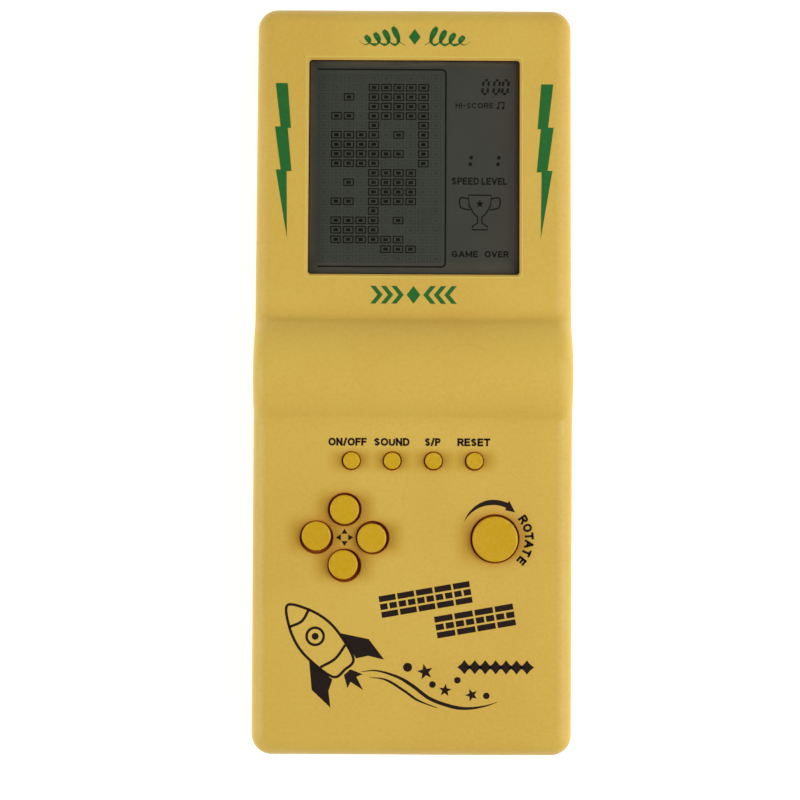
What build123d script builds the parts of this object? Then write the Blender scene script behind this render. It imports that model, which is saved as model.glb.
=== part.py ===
"""Handheld LCD game: a two-shell case with a battery hump, nine keys over a rubber keypad, an LCD
stack behind a clear window, two circuit boards, a piezo buzzer and two AA cells under a hinged door.

Millimetres. The game lies on its flat back: +Z comes out of its front, +Y points to the screen end,
+X is to the right, and the origin is in the middle of the back.
"""
from build123d import *

import os
from math import cos, pi, radians, sin, sqrt, tan

# ---- Case -------------------------------------------------------------------------------------
LENGTH = 185.0
WIDTH_TOP = 78.3  # across the screen end
WIDTH_BOTTOM = 78.75  # across the keypad end
PLAN_RADIUS = 5.0
FRONT_EDGE_RADIUS = 4.0
BACK_EDGE_RADIUS = 2.5
WALL = 2.1
KEYPAD_Z = 22.5  # height of the flat keypad face
HUMP_RADIUS = 17.0
HUMP_Y = 0.9
HUMP_Z = 9.1  # height of the centre of the hump's arc
CREASE_Z = 18.2  # where the hump meets the screen face
SCREEN_TILT = radians(4.0)  # the screen face falls away towards the top end
CREASE_RADIUS = 3.2
HUMP_FOOT_RADIUS = 3.0

# ---- Joint between the two shells ---------------------------------------------------------------
PARTING_Z = 8.0
SEAM = 0.3
LIP_INSET = 1.15
LIP_TOP = 9.2
LIP_GAP = 0.15

# ---- Case screws, self-tapping, driven from the back --------------------------------------------
SCREW_PLACES = [(sx * x, y) for x, y in ((34.0, 87.0), (33.6, HUMP_Y), (34.2, -87.0)) for sx in (-1, 1)]
SCREW_WELL = 5.2
SCREW_SEAT_Z = 4.4
REAR_BOSS = 7.6
REAR_BOSS_TOP = 6.0
FRONT_BOSS = 5.4
SCREW_SHANK = 2.0
SCREW_LENGTH = 6.0
SCREW_HEAD = 4.6
SCREW_HEAD_HEIGHT = 1.7
SLOT_LENGTH = 0.55  # the cross recess, as shares of the head's diameter
SLOT_WIDTH = 0.14
HOLE_PLAY = 0.1
SHANK_PLAY = 0.4
BOARD_SHANK = 1.8
BOARD_SCREW_LENGTH = 4.6
BOARD_SCREW_HEAD = 3.8
BOARD_HEAD_HEIGHT = 1.3

# ---- Window and LCD stack: heights are measured outwards from the screen face ---------------------
WINDOW_Y = 52.8
WINDOW_WIDTH = 52.4
WINDOW_LENGTH = 53.7
WINDOW_CORNER = 0.8
WINDOW_BEVEL = 0.5
LENS_MARGIN = 2.0
LENS_FRONT = -0.9
PLAY = 0.15
POLARISER_FRONT = -2.3
POLARISER_THICKNESS = 0.2
GLASS_THICKNESS = 1.1
GLASS_WIDTH = 58.0
GLASS_TOP = 29.5  # along the screen face from the middle of the window
FRONT_GLASS_BOTTOM = -32.5
REAR_GLASS_BOTTOM = -28.5
HOLDER_WIDTH = 62.6
HOLDER_TOP = 31.3
HOLDER_BOTTOM = -34.0
HOLDER_CORNER = 2.0
BOARD_FRONT = -7.0
BOARD_THICKNESS = 1.2
MAIN_BOARD_WIDTH = 72.0
MAIN_BOARD_TOP = 33.0
MAIN_BOARD_BOTTOM = -36.0
MAIN_POSTS = [(sx * 33.8, v) for v in (24.0, -22.0) for sx in (-1, 1)]
POST_DIAMETER = 4.6
CHIP_V = 4.0
CHIP_DIAMETER = 15.0
CHIP_HEIGHT = 1.5
CHIP_ROUNDING = 1.2
CAPACITOR_U = (-16.0, 6.0)
CAPACITOR_V = -14.0
CAPACITOR_SIZE = (5.0, 9.0)  # diameter and length
RESISTOR_U = 20.0
RESISTOR_V = (-4.0, 0.0, 4.0, 8.0)
RESISTOR_SIZE = (2.0, 6.0)
STRIP_V = (-31.6, -29.8)  # the rubber contact strip, along the screen face
SILL = 1.5  # how far the holder's inner edge reaches under the glass

# ---- Keys ---------------------------------------------------------------------------------------
KEY_TRAVEL = 0.8
DPAD_CENTRE = (-16.6, -38.8)
DPAD_REACH = 6.86
ROTATE_CENTRE = (20.2, -38.95)
SMALL_ROW_Y = -20.0
SMALL_PITCH = 10.05
KEY_RIM = 0.15  # small bevel round every key hole
FLANGE_TOP = 20.3
FLANGE_BOTTOM = 19.3
FLANGE_MARGIN = 0.5  # how far a key's flange reaches under the case round its hole

SMALL_HOLE, SMALL_CAP, SMALL_TOP = 4.5, 4.1, 23.6
DPAD_HOLE, DPAD_CAP, DPAD_TOP = 8.1, 7.1, 24.3
ROTATE_HOLE, ROTATE_CAP, ROTATE_TOP = 11.9, 11.1, 24.3

# Each key: its hole's centre, hole and cap diameters, top height, and how far the loose cap sits off
# the hole's centre.
KEYS = {
    "power_button": ((-1.5 * SMALL_PITCH, SMALL_ROW_Y), SMALL_HOLE, SMALL_CAP, SMALL_TOP, (0.09, 0.05)),
    "sound_button": ((-0.5 * SMALL_PITCH, SMALL_ROW_Y), SMALL_HOLE, SMALL_CAP, SMALL_TOP, (0.0, 0.03)),
    "start_pause_button": ((0.5 * SMALL_PITCH, SMALL_ROW_Y), SMALL_HOLE, SMALL_CAP, SMALL_TOP, (0.04, 0.06)),
    "reset_button": ((1.5 * SMALL_PITCH, SMALL_ROW_Y), SMALL_HOLE, SMALL_CAP, SMALL_TOP, (0.06, 0.08)),
    "up_button": ((DPAD_CENTRE[0], DPAD_CENTRE[1] + DPAD_REACH), DPAD_HOLE, DPAD_CAP, DPAD_TOP, (0.0, 0.03)),
    "down_button": (
        (DPAD_CENTRE[0], DPAD_CENTRE[1] - DPAD_REACH), DPAD_HOLE, DPAD_CAP, DPAD_TOP, (-0.28, 0.30)
    ),
    "left_button": (
        (DPAD_CENTRE[0] - DPAD_REACH, DPAD_CENTRE[1]), DPAD_HOLE, DPAD_CAP, DPAD_TOP, (0.0, 0.40)
    ),
    "right_button": (
        (DPAD_CENTRE[0] + DPAD_REACH, DPAD_CENTRE[1]), DPAD_HOLE, DPAD_CAP, DPAD_TOP, (-0.16, -0.04)
    ),
    "rotate_button": (ROTATE_CENTRE, ROTATE_HOLE, ROTATE_CAP, ROTATE_TOP, (0.0, -0.03)),
}
CAP_EDGE_RADIUS = 0.4
DISH_MARGIN = 0.5  # width of the flat rim round a cap's finger dish
DISH_DEPTH = 0.016  # as a share of the dish's diameter

# ---- Keypad stack -------------------------------------------------------------------------------
KEY_BOARD_TOP = 16.9
KEY_BOARD_X = 33.5
KEY_BOARD_Y = (-57.75, -14.15)
KEY_POSTS = [(-30.5, -19.75), (30.5, -19.75), (-30.5, -53.75), (30.5, -53.75), (2.4, -38.75)]
WEB_THICKNESS = 0.8
WEB_X = 28.0
WEB_Y = (-51.25, -16.95)
DOME_TOP = 19.2
DOME_WALL = 0.7
DOME_SPREAD = 1.3  # how much wider than its key hole a dome is at its base
DOME_NARROWING = 0.7  # a dome's top diameter as a share of the hole, before its wall is added
PILL_BOTTOM = KEY_BOARD_TOP + KEY_TRAVEL
PILL_THICKNESS = 0.4

# ---- Batteries ----------------------------------------------------------------------------------
CELL_DIAMETER = 14.5
CELL_LENGTH = 50.5
CELL_NUB = 1.3  # height of the positive end's button
CELL_NUB_DIAMETER = 5.5
CELL_ROUNDING = 0.7
CELL_Z = 9.15
LOWER_CELL_Y = HUMP_Y - 8.85
UPPER_CELL_Y = HUMP_Y + 6.15
CELL_PLAY = 0.3
BAY_WALL = 0.9
BAY_HALF_X = 28.5
BAY_END_WALL = 1.2
CONTACT = 0.4  # sheet thickness of the battery contacts
CONTACT_PLAY = 0.05
SPRING_RADIUS = 4.2
SPRING_WIRE = 0.7
SPRING_TURNS = 3
CONTACT_HALF_HEIGHT = 5.0
TERMINAL_WIDTH = 11.0
LINK_WIDTH = 26.0
TAG_WIDTH = 3.0
TAG_REACH = 1.6  # how far a solder tag stands out of the bay's end wall
TAG_Z = (13.7, 14.1)
TAG_PLAY = 0.3

# ---- Battery door -------------------------------------------------------------------------------
DOOR_THICKNESS = 1.6
DOOR_HALF_X = 30.5
DOOR_Y = (HUMP_Y - 18.05, HUMP_Y + 15.25)
DOOR_PLAY = 0.2
HINGE_Z = DOOR_THICKNESS / 2  # the door turns about the centre of its round edge
HINGE_Y = DOOR_Y[1] - HINGE_Z
LEDGE = (1.8, 3.0)
TAB_X = (-18.0, 18.0)
TAB_WIDTH = 6.0
TAB_REACH = HUMP_Y + 17.25
TAB_Z = (2.3, 3.4)
LATCH_HALF = 6.0
LATCH_LENGTH = 9.0
LATCH_HOOK_Z = 1.75
GRIP_GROOVES = 3
GRIP_PITCH = 1.6
GRIP_DEPTH = 0.4
DOOR_CORNER = 1.0
TAB_ROOT = 1.6  # how much of the door's length a hook tab stands on
TAB_ROOM = 1.6  # free height over a hook tab, so that it can swing out
TAB_END_ROOM = 0.3
LATCH_SLIT = 0.8
HOOK_LENGTH = 1.2

# ---- Buzzer -------------------------------------------------------------------------------------
BUZZER_Y = -70.0
BUZZER_PLATE = 27.0
BUZZER_CERAMIC = 20.0
BUZZER_Z = 3.2
BUZZER_PLATE_THICKNESS = 0.4
BUZZER_CERAMIC_THICKNESS = 0.3
BUZZER_SEAT = (23.0, 26.0)  # inner and outer diameters of the ring that it rests on
BUZZER_RIM = (27.4, 29.2)  # and of the ring round it
SOUND_HOLE = 2.0
SOUND_RING = 5.0
RIB_PLACES = (-48.0, 44.0, 70.0)
RIB_HALF = 30.0
RIB_WIDTH = 1.0
RIB_TOP = 4.0
LABEL_SIZE = (46.0, 22.0)  # shallow recess for a label on the back
LABEL_Y = 55.0
LABEL_DEPTH = 0.25

# ---- Flat cable and wires -------------------------------------------------------------------------
# The flat cable's middle line, as (Y, Z), from the key board over the bay to the main board.
RIBBON_PATH = [
    (-16.45, 17.08), (-13.75, 17.08), (-8.75, 19.4), (-4.25, 21.2), (4.25, 20.9), (13.18, 15.92),
    (15.85, 12.9), (16.75, 11.3), (18.15, 11.2),
]
RIBBON_WIDTH = 14.0
RIBBON_THICKNESS = 0.3
RIBBON_BEND = 0.5
WIRE_DIAMETER = 0.8
WIRES = {
    "buzzer_wire_red": [
        (8.0, -62.0, 3.6), (8.0, -62.0, 6.8), (10.6, -59.2, 10.0), (14.6, -55.6, 11.6),
        (16.2, -54.0, 13.6), (16.2, -54.0, 15.7),
    ],
    "buzzer_wire_black": [
        (-2.0, -63.5, 3.9), (-2.0, -63.5, 7.0), (0.6, -60.4, 10.2), (5.6, -56.2, 11.6),
        (8.2, -54.0, 13.4), (8.2, -54.0, 15.7),
    ],
    "battery_wire_red": [
        (-30.9, 7.05, 14.1), (-30.9, 7.05, 16.6), (-29.4, 3.25, 19.6), (-28.6, -4.75, 20.2),
        (-27.6, -12.25, 19.4), (-27.5, -15.35, 18.6), (-27.5, -15.35, 16.9),
    ],
    "battery_wire_black": [
        (-30.9, -7.95, 14.1), (-30.9, -7.95, 16.2), (-30.6, -10.35, 18.4), (-30.5, -13.35, 19.2),
        (-30.5, -15.35, 18.5), (-30.5, -15.35, 16.9),
    ],
}

BIG = 400.0  # larger than the whole game, for cutting tools


# ---- Helpers ------------------------------------------------------------------------------------
def block(x, y, z):
    """A box between two corners, each given as (low, high) along its axis."""
    middle = [(low + high) / 2 for low, high in (x, y, z)]
    return Pos(*middle) * Box(x[1] - x[0], y[1] - y[0], z[1] - z[0])


def rod(place, z, diameter):
    """An upright round bar between two heights."""
    return Pos(place[0], place[1], (z[0] + z[1]) / 2) * Cylinder(diameter / 2, z[1] - z[0])


def screen_plane():
    """A plane on the screen face at the middle of the window, with its y axis up the slope."""
    height = CREASE_Z - (WINDOW_Y - CREASE_Y) * tan(SCREEN_TILT)
    normal = (0, sin(SCREEN_TILT), cos(SCREEN_TILT))
    return Plane(origin=(0, WINDOW_Y, height), x_dir=(1, 0, 0), z_dir=normal)


CREASE_Y = HUMP_Y + sqrt(HUMP_RADIUS**2 - (CREASE_Z - HUMP_Z) ** 2)
SCREEN = screen_plane()


def screen_block(u, v, w):
    """A box in the screen's own frame: u across, v up the slope, w outwards."""
    return SCREEN * block(u, v, w)


def screen_rod(place, w, diameter):
    """A round bar square to the screen face."""
    return SCREEN * rod(place, w, diameter)


# ---- Outer form ---------------------------------------------------------------------------------
def side_outline(inset):
    """The case seen from its side, drawn with Y across and Z up, and shrunk all round by the inset."""
    half = LENGTH / 2 - inset
    radius = HUMP_RADIUS - inset
    face_z = KEYPAD_Z - inset
    foot_y = HUMP_Y - sqrt(radius**2 - (face_z - HUMP_Z) ** 2)
    slope = tan(SCREEN_TILT)
    # The screen face is the line z = level - slope * (y - HUMP_Y) over the hump's centre.
    level = CREASE_Z - HUMP_Z + slope * (CREASE_Y - HUMP_Y) - inset / cos(SCREEN_TILT)
    root = sqrt((level * slope) ** 2 - (1 + slope**2) * (level**2 - radius**2))
    crease = (level * slope + root) / (1 + slope**2)
    crease_y, crease_z = HUMP_Y + crease, HUMP_Z + level - slope * crease
    end_z = HUMP_Z + level - slope * (half - HUMP_Y)
    corners = [
        (crease_y, crease_z), (half, end_z), (half, inset), (-half, inset), (-half, face_z), (foot_y, face_z)
    ]
    hump = ThreePointArc((foot_y, face_z), (HUMP_Y, HUMP_Z + radius), (crease_y, crease_z))
    outline = make_face(Polyline(*corners).edges() + hump.edges())
    outline = fillet(nearest_corner(outline, foot_y, face_z), HUMP_FOOT_RADIUS + inset)
    return fillet(nearest_corner(outline, crease_y, crease_z), CREASE_RADIUS + inset)


def nearest_corner(face, x, y):
    """The vertex of a flat face closest to a point."""
    return face.vertices().sort_by_distance((x, y, 0))[0]


def plan_outline(inset=0.0):
    """The case seen from the front: a rounded oblong that widens slightly towards the keypad end."""
    half = LENGTH / 2
    top, bottom = WIDTH_TOP / 2, WIDTH_BOTTOM / 2
    outline = make_face(Polyline((-bottom, -half), (bottom, -half), (top, half), (-top, half), close=True))
    outline = fillet(outline.vertices(), PLAN_RADIUS)
    return offset(outline, amount=-inset) if inset else outline


def rim_edges(form, front):
    """The edges that run all round the front or the back of the form."""
    def on_rim(edge):
        middle = edge @ 0.5
        upright = abs((edge @ 0).Z - (edge @ 1).Z) > 0.95 * edge.length
        outside = abs(middle.X) > 0.3 * WIDTH_TOP or abs(middle.Y) > LENGTH / 2 - PLAN_RADIUS
        return outside and not upright and (middle.Z > PARTING_Z) == front
    return form.edges().filter_by(on_rim)


def case_form(inset=0.0):
    """The case as one solid, or the hollow inside it when the inset is the wall's thickness."""
    side = extrude(Plane.YZ * side_outline(inset), WIDTH_BOTTOM, both=True)
    form = side & extrude(plan_outline(inset), HUMP_Z + HUMP_RADIUS + 1)
    form = fillet(rim_edges(form, front=True), FRONT_EDGE_RADIUS - inset)
    if BACK_EDGE_RADIUS > inset:
        form = fillet(rim_edges(form, front=False), BACK_EDGE_RADIUS - inset)
    return form


def wall_band(z, outside, inside):
    """An upright band that follows the case's plan between two insets."""
    ring = plan_outline(outside) - plan_outline(inside)
    return Pos(0, 0, z[0]) * extrude(ring, z[1] - z[0])


# ---- Front shell --------------------------------------------------------------------------------
def window_cut():
    """The window, its bevel and the inner rebate that the lens drops into."""
    opening = RectangleRounded(WINDOW_WIDTH, WINDOW_LENGTH, WINDOW_CORNER)
    through = SCREEN * Pos(0, 0, -2 * WALL) * extrude(opening, 3 * WALL)
    bevel = SCREEN * Pos(0, 0, -WINDOW_BEVEL) * extrude(opening, 2 * WINDOW_BEVEL, taper=-45)
    half_u = WINDOW_WIDTH / 2 + LENS_MARGIN + PLAY
    half_v = WINDOW_LENGTH / 2 + LENS_MARGIN + PLAY
    rebate = screen_block((-half_u, half_u), (-half_v, half_v), (-2 * WALL, LENS_FRONT))
    return through + bevel + rebate


def key_cuts():
    """The key holes, each with a small bevel at its rim."""
    cuts = []
    for place, hole, _, _, _ in KEYS.values():
        cuts.append(rod(place, (KEYPAD_Z - 2 * WALL, KEYPAD_Z + 1), hole))
        rim = Cone(hole / 2, hole / 2 + 2 * KEY_RIM, 2 * KEY_RIM)
        cuts.append(Pos(place[0], place[1], KEYPAD_Z) * rim)
    return cuts


def front_posts():
    """Screw posts that hang from the inside of the front shell, trimmed to end in its wall."""
    posts = [rod(place, (REAR_BOSS_TOP + HOLE_PLAY, BIG / 2), FRONT_BOSS) for place in SCREW_PLACES]
    posts += [rod(place, (KEY_BOARD_TOP, BIG / 2), POST_DIAMETER) for place in KEY_POSTS]
    posts += [screen_rod(place, (BOARD_FRONT, BIG / 2), POST_DIAMETER) for place in MAIN_POSTS]
    return posts


def front_pilots():
    """The blind holes that the self-tapping screws cut their threads in."""
    pilot = SCREW_SHANK + HOLE_PLAY
    tip = SCREW_SEAT_Z + SCREW_LENGTH + HOLE_PLAY
    pilots = [rod(place, (PARTING_Z - WALL, tip), pilot) for place in SCREW_PLACES]
    board_tip = KEY_BOARD_TOP - BOARD_THICKNESS + BOARD_SCREW_LENGTH + HOLE_PLAY
    pilots += [rod(place, (KEY_BOARD_TOP - 1, board_tip), BOARD_SHANK + HOLE_PLAY) for place in KEY_POSTS]
    screen_tip = BOARD_FRONT - BOARD_THICKNESS + BOARD_SCREW_LENGTH + HOLE_PLAY
    for place in MAIN_POSTS:
        pilots.append(screen_rod(place, (BOARD_FRONT - 1, screen_tip), BOARD_SHANK + HOLE_PLAY))
    return pilots


def front_case(outer, hollow):
    """The front shell, with its window, key holes and screw posts."""
    upper = block((-BIG, BIG), (-BIG, BIG), (PARTING_Z + SEAM / 2, BIG))
    shell = (outer - hollow) & upper
    shell -= wall_band((PARTING_Z, LIP_TOP + LIP_GAP), LIP_INSET - LIP_GAP, WALL + 1)
    within = case_form(WALL / 2)
    for post in front_posts():
        shell += post & within
    for cut in [window_cut()] + key_cuts() + front_pilots():
        shell -= cut
    return shell


# ---- Rear shell ---------------------------------------------------------------------------------
def bay_outline(radius):
    """The battery bay from its end: a roof curved over both cells and straight sides down to the door."""
    across = UPPER_CELL_Y - LOWER_CELL_Y
    middle = (UPPER_CELL_Y + LOWER_CELL_Y) / 2
    roof = Pos(middle, CELL_Z) * SlotCenterToCenter(across, 2 * radius)
    low = -1.0
    sides = Pos(middle, (CELL_Z + low) / 2) * Rectangle(across + 2 * radius, CELL_Z - low)
    return roof + sides


def bay_shell():
    """The tub that the cells lie in, with its ledge round the door, open to the back."""
    inner_radius = CELL_DIAMETER / 2 + CELL_PLAY
    outer_half = BAY_HALF_X + BAY_END_WALL
    outside = extrude(Plane.YZ * bay_outline(inner_radius + BAY_WALL), outer_half, both=True)
    ledge = block((-DOOR_HALF_X - 2, DOOR_HALF_X + 2), (DOOR_Y[0] - 2, DOOR_Y[1] + 1), LEDGE)
    return (outside & block((-BIG, BIG), (-BIG, BIG), (LEDGE[0], BIG))) + ledge


def bay_cuts():
    """What is taken out of the rear shell: the bay, the door's seat, the tab slots and terminal slots."""
    inner_radius = CELL_DIAMETER / 2 + CELL_PLAY
    inside = extrude(Plane.YZ * bay_outline(inner_radius), BAY_HALF_X, both=True)
    door_x = DOOR_HALF_X + DOOR_PLAY
    seat = block((-door_x, door_x), (DOOR_Y[0] - DOOR_PLAY, DOOR_Y[1] + DOOR_PLAY), (-1, LEDGE[0]))
    cuts = [inside, seat]
    for x in TAB_X:
        half = TAB_WIDTH / 2 + DOOR_PLAY
        tab_y = (UPPER_CELL_Y, TAB_REACH + TAB_END_ROOM)
        cuts.append(block((x - half, x + half), tab_y, (WALL, TAB_Z[1] + TAB_ROOM)))
        cuts.append(block((x - half, x + half), (UPPER_CELL_Y, DOOR_Y[1] + DOOR_PLAY), (0, WALL + 0.1)))
    slot_x = (-BAY_HALF_X - 2 * BAY_END_WALL, -BAY_HALF_X + BAY_END_WALL)
    slot_z = (TAG_Z[0] - TAG_PLAY, TAG_Z[1] + TAG_PLAY)
    for y in (LOWER_CELL_Y, UPPER_CELL_Y):
        half = TAG_WIDTH / 2 + PLAY
        cuts.append(block(slot_x, (y - half, y + half), slot_z))
    return cuts


def rear_bosses():
    """Screw wells, the buzzer's seat ring and stiffening ribs on the floor of the rear shell."""
    bosses = [rod(place, (0, REAR_BOSS_TOP), REAR_BOSS) for place in SCREW_PLACES]
    for (inner, outer), top in ((BUZZER_SEAT, BUZZER_Z), (BUZZER_RIM, BUZZER_Z + 1)):
        ring = rod((0, BUZZER_Y), (WALL / 2, top), outer)
        bosses.append(ring - rod((0, BUZZER_Y), (0, top + 1), inner))
    for y in RIB_PLACES:
        bosses.append(block((-RIB_HALF, RIB_HALF), (y, y + RIB_WIDTH), (WALL / 2, RIB_TOP)))
    return bosses


def rear_cuts():
    """Screw wells and holes, the label's recess and the buzzer's sound holes."""
    label_y = (LABEL_Y - LABEL_SIZE[1] / 2, LABEL_Y + LABEL_SIZE[1] / 2)
    cuts = [rod(place, (-1, SCREW_SEAT_Z), SCREW_WELL) for place in SCREW_PLACES]
    cuts += [rod(place, (0, REAR_BOSS_TOP + 1), SCREW_SHANK + SHANK_PLAY) for place in SCREW_PLACES]
    cuts.append(block((-LABEL_SIZE[0] / 2, LABEL_SIZE[0] / 2), label_y, (-1, LABEL_DEPTH)))
    cuts.append(rod((0, BUZZER_Y), (-1, WALL + 1), SOUND_HOLE))
    for ring, count in ((SOUND_RING, 6), (2 * SOUND_RING, 12)):
        for spot in PolarLocations(ring, count):
            place = spot.position
            cuts.append(rod((place.X, place.Y + BUZZER_Y), (-1, WALL + 1), SOUND_HOLE))
    return cuts


def rear_case(outer, hollow):
    """The rear shell, with its lip, battery bay, screw wells and buzzer seat."""
    lower = block((-BIG, BIG), (-BIG, BIG), (-1, PARTING_Z - SEAM / 2))
    shell = (outer - hollow) & lower
    shell += wall_band((PARTING_Z - WALL, LIP_TOP), LIP_INSET, WALL)
    within = case_form(WALL / 2) + block((-BIG, BIG), (-BIG, BIG), (0, WALL / 2)) & outer
    for boss in rear_bosses():
        shell += boss & within
    shell += bay_shell()
    for cut in bay_cuts() + rear_cuts():
        shell -= cut
    return shell


def battery_door():
    """The door: a plate with a round hinge edge, two hook tabs, a latch tongue and grip grooves."""
    plate = block((-DOOR_HALF_X, DOOR_HALF_X), (DOOR_Y[0], HINGE_Y), (0, DOOR_THICKNESS))
    plate = fillet(plate.edges().filter_by(Axis.Z).group_by(Axis.Y)[0], DOOR_CORNER)
    plate += Pos(0, HINGE_Y, HINGE_Z) * Rot(0, 90, 0) * Cylinder(HINGE_Z, 2 * DOOR_HALF_X)
    for x in TAB_X:
        side = (x - TAB_WIDTH / 2, x + TAB_WIDTH / 2)
        plate += block(side, (DOOR_Y[1] - TAB_ROOT, DOOR_Y[1]), (DOOR_THICKNESS / 2, TAB_Z[1]))
        plate += block(side, (DOOR_Y[1] - TAB_ROOT, TAB_REACH), TAB_Z)
    slit = LATCH_SLIT / 2
    for x in (-LATCH_HALF, LATCH_HALF):
        plate -= block((x - slit, x + slit), (DOOR_Y[0] - 1, DOOR_Y[0] + LATCH_LENGTH), (-1, BIG))
    hook = LATCH_HALF - 2 * slit
    plate += block((-hook, hook), (DOOR_Y[0], DOOR_Y[0] + HOOK_LENGTH), (DOOR_THICKNESS / 2, LATCH_HOOK_Z))
    groove = LATCH_HALF - GRIP_PITCH
    for step in range(GRIP_GROOVES):
        y = DOOR_Y[0] + GRIP_PITCH * (step + 2)
        plate -= block((-groove, groove), (y, y + GRIP_PITCH / 2), (-1, GRIP_DEPTH))
    return plate


# ---- Fasteners ----------------------------------------------------------------------------------
def screw(head, head_height, shank, length):
    """A pan-head cross-recess screw with its seat at z = 0, pointing up."""
    top = Pos(0, 0, -head_height / 2) * Cylinder(head / 2, head_height)
    top = fillet(top.edges().group_by(Axis.Z)[0], head_height / 2)
    body = Pos(0, 0, length / 2) * Cylinder(shank / 2, length)
    body = chamfer(body.edges().group_by(Axis.Z)[-1], shank / 4)
    slot = Pos(0, 0, -head_height) * Box(head * SLOT_LENGTH, head * SLOT_WIDTH, head_height)
    return top + body - slot - Rot(0, 0, 90) * slot


def case_screws():
    """Six case screws, in the wells on the back."""
    one = screw(SCREW_HEAD, SCREW_HEAD_HEIGHT, SCREW_SHANK, SCREW_LENGTH)
    return [Pos(x, y, SCREW_SEAT_Z) * one for x, y in SCREW_PLACES]


def key_board_screws():
    """Screws that hold the key board to the front shell's posts."""
    one = screw(BOARD_SCREW_HEAD, BOARD_HEAD_HEIGHT, BOARD_SHANK, BOARD_SCREW_LENGTH)
    return [Pos(x, y, KEY_BOARD_TOP - BOARD_THICKNESS) * one for x, y in KEY_POSTS]


def main_board_screws():
    """Screws that hold the main board to the front shell's posts."""
    one = screw(BOARD_SCREW_HEAD, BOARD_HEAD_HEIGHT, BOARD_SHANK, BOARD_SCREW_LENGTH)
    return [SCREEN * Pos(u, v, BOARD_FRONT - BOARD_THICKNESS) * one for u, v in MAIN_POSTS]


# ---- Window and LCD -----------------------------------------------------------------------------
def window_lens():
    """The clear window behind the front shell's bevelled opening."""
    half_u = WINDOW_WIDTH / 2 + LENS_MARGIN
    half_v = WINDOW_LENGTH / 2 + LENS_MARGIN
    return screen_block((-half_u, half_u), (-half_v, half_v), (-WALL, LENS_FRONT))


def glass_layer(v, front, thickness, trim=0.0):
    """One flat layer of the LCD, from its front surface down."""
    half = GLASS_WIDTH / 2 - trim
    return screen_block((-half, half), (v[0] + trim, v[1] - trim), (front - thickness, front))


def lcd_layers():
    """The LCD: polariser, two glasses with a contact ledge on the front one, and the reflector."""
    glass_front = POLARISER_FRONT - POLARISER_THICKNESS
    rear_front = glass_front - GLASS_THICKNESS
    back = rear_front - GLASS_THICKNESS
    seen = (REAR_GLASS_BOTTOM, GLASS_TOP)
    return {
        "lcd_polariser": glass_layer(seen, POLARISER_FRONT, POLARISER_THICKNESS, trim=0.6),
        "lcd_front_glass": glass_layer((FRONT_GLASS_BOTTOM, GLASS_TOP), glass_front, GLASS_THICKNESS),
        "lcd_rear_glass": glass_layer(seen, rear_front, GLASS_THICKNESS),
        "lcd_reflector": glass_layer(seen, back, POLARISER_THICKNESS, trim=0.6),
    }


def lcd_holder():
    """The frame that carries the glass over the main board, with a slot for the contact strip."""
    half = HOLDER_WIDTH / 2
    glass_back = POLARISER_FRONT - 2 * POLARISER_THICKNESS - 2 * GLASS_THICKNESS
    height = POLARISER_FRONT - PLAY - BOARD_FRONT
    frame = screen_block((-half, half), (HOLDER_BOTTOM, HOLDER_TOP), (BOARD_FRONT, POLARISER_FRONT - PLAY))
    frame = fillet(frame.edges().filter_by(lambda edge: abs(edge.length - height) < 0.01), HOLDER_CORNER)
    pocket = GLASS_WIDTH / 2 + PLAY
    frame -= screen_block((-pocket, pocket), (FRONT_GLASS_BOTTOM - PLAY, GLASS_TOP + PLAY), (glass_back, 0))
    sill = GLASS_WIDTH / 2 - SILL
    frame -= screen_block((-sill, sill), (REAR_GLASS_BOTTOM + SILL, GLASS_TOP - SILL), (BOARD_FRONT - 1, 0))
    frame -= screen_block((-sill, sill), (STRIP_V[0] - PLAY, STRIP_V[1] + PLAY), (BOARD_FRONT - 1, 0))
    ledge_back = POLARISER_FRONT - POLARISER_THICKNESS - GLASS_THICKNESS
    lift_v = (FRONT_GLASS_BOTTOM - PLAY, STRIP_V[0] - PLAY)
    return frame + screen_block((-pocket, pocket), lift_v, (glass_back, ledge_back))


def contact_strip():
    """The striped rubber strip that joins the glass's ledge to the main board."""
    half = GLASS_WIDTH / 2 - SILL - PLAY
    top = POLARISER_FRONT - POLARISER_THICKNESS - GLASS_THICKNESS
    return screen_block((-half, half), STRIP_V, (BOARD_FRONT, top))


# ---- Circuit boards -----------------------------------------------------------------------------
def main_board():
    """The main circuit board behind the LCD, notched round the top case screws."""
    half = MAIN_BOARD_WIDTH / 2
    back = BOARD_FRONT - BOARD_THICKNESS
    board = screen_block((-half, half), (MAIN_BOARD_BOTTOM, MAIN_BOARD_TOP), (back, BOARD_FRONT))
    for place in SCREW_PLACES[:2]:
        board -= rod(place, (0, BIG / 2), REAR_BOSS + 1)
    for place in MAIN_POSTS:
        board -= screen_rod(place, (back - 1, BOARD_FRONT + 1), BOARD_SHANK + SHANK_PLAY)
    return board


def chip_blob():
    """The epoxy cap over the bare chip on the back of the main board."""
    back = BOARD_FRONT - BOARD_THICKNESS
    cap = rod((0, CHIP_V), (back - CHIP_HEIGHT, back), CHIP_DIAMETER)
    return SCREEN * fillet(cap.edges().group_by(Axis.Z)[0], CHIP_ROUNDING)


def lying_can(u, v, diameter, length):
    """A round component lying on the back of the main board, along u."""
    back = BOARD_FRONT - BOARD_THICKNESS
    return SCREEN * Pos(u, v, back - diameter / 2) * Rot(0, 90, 0) * Cylinder(diameter / 2, length)


def capacitors():
    """Two electrolytic capacitors lying on the main board."""
    return [lying_can(u, CAPACITOR_V, *CAPACITOR_SIZE) for u in CAPACITOR_U]


def resistors():
    """Four small resistors in a row on the main board."""
    return [lying_can(RESISTOR_U, v, *RESISTOR_SIZE) for v in RESISTOR_V]


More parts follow.
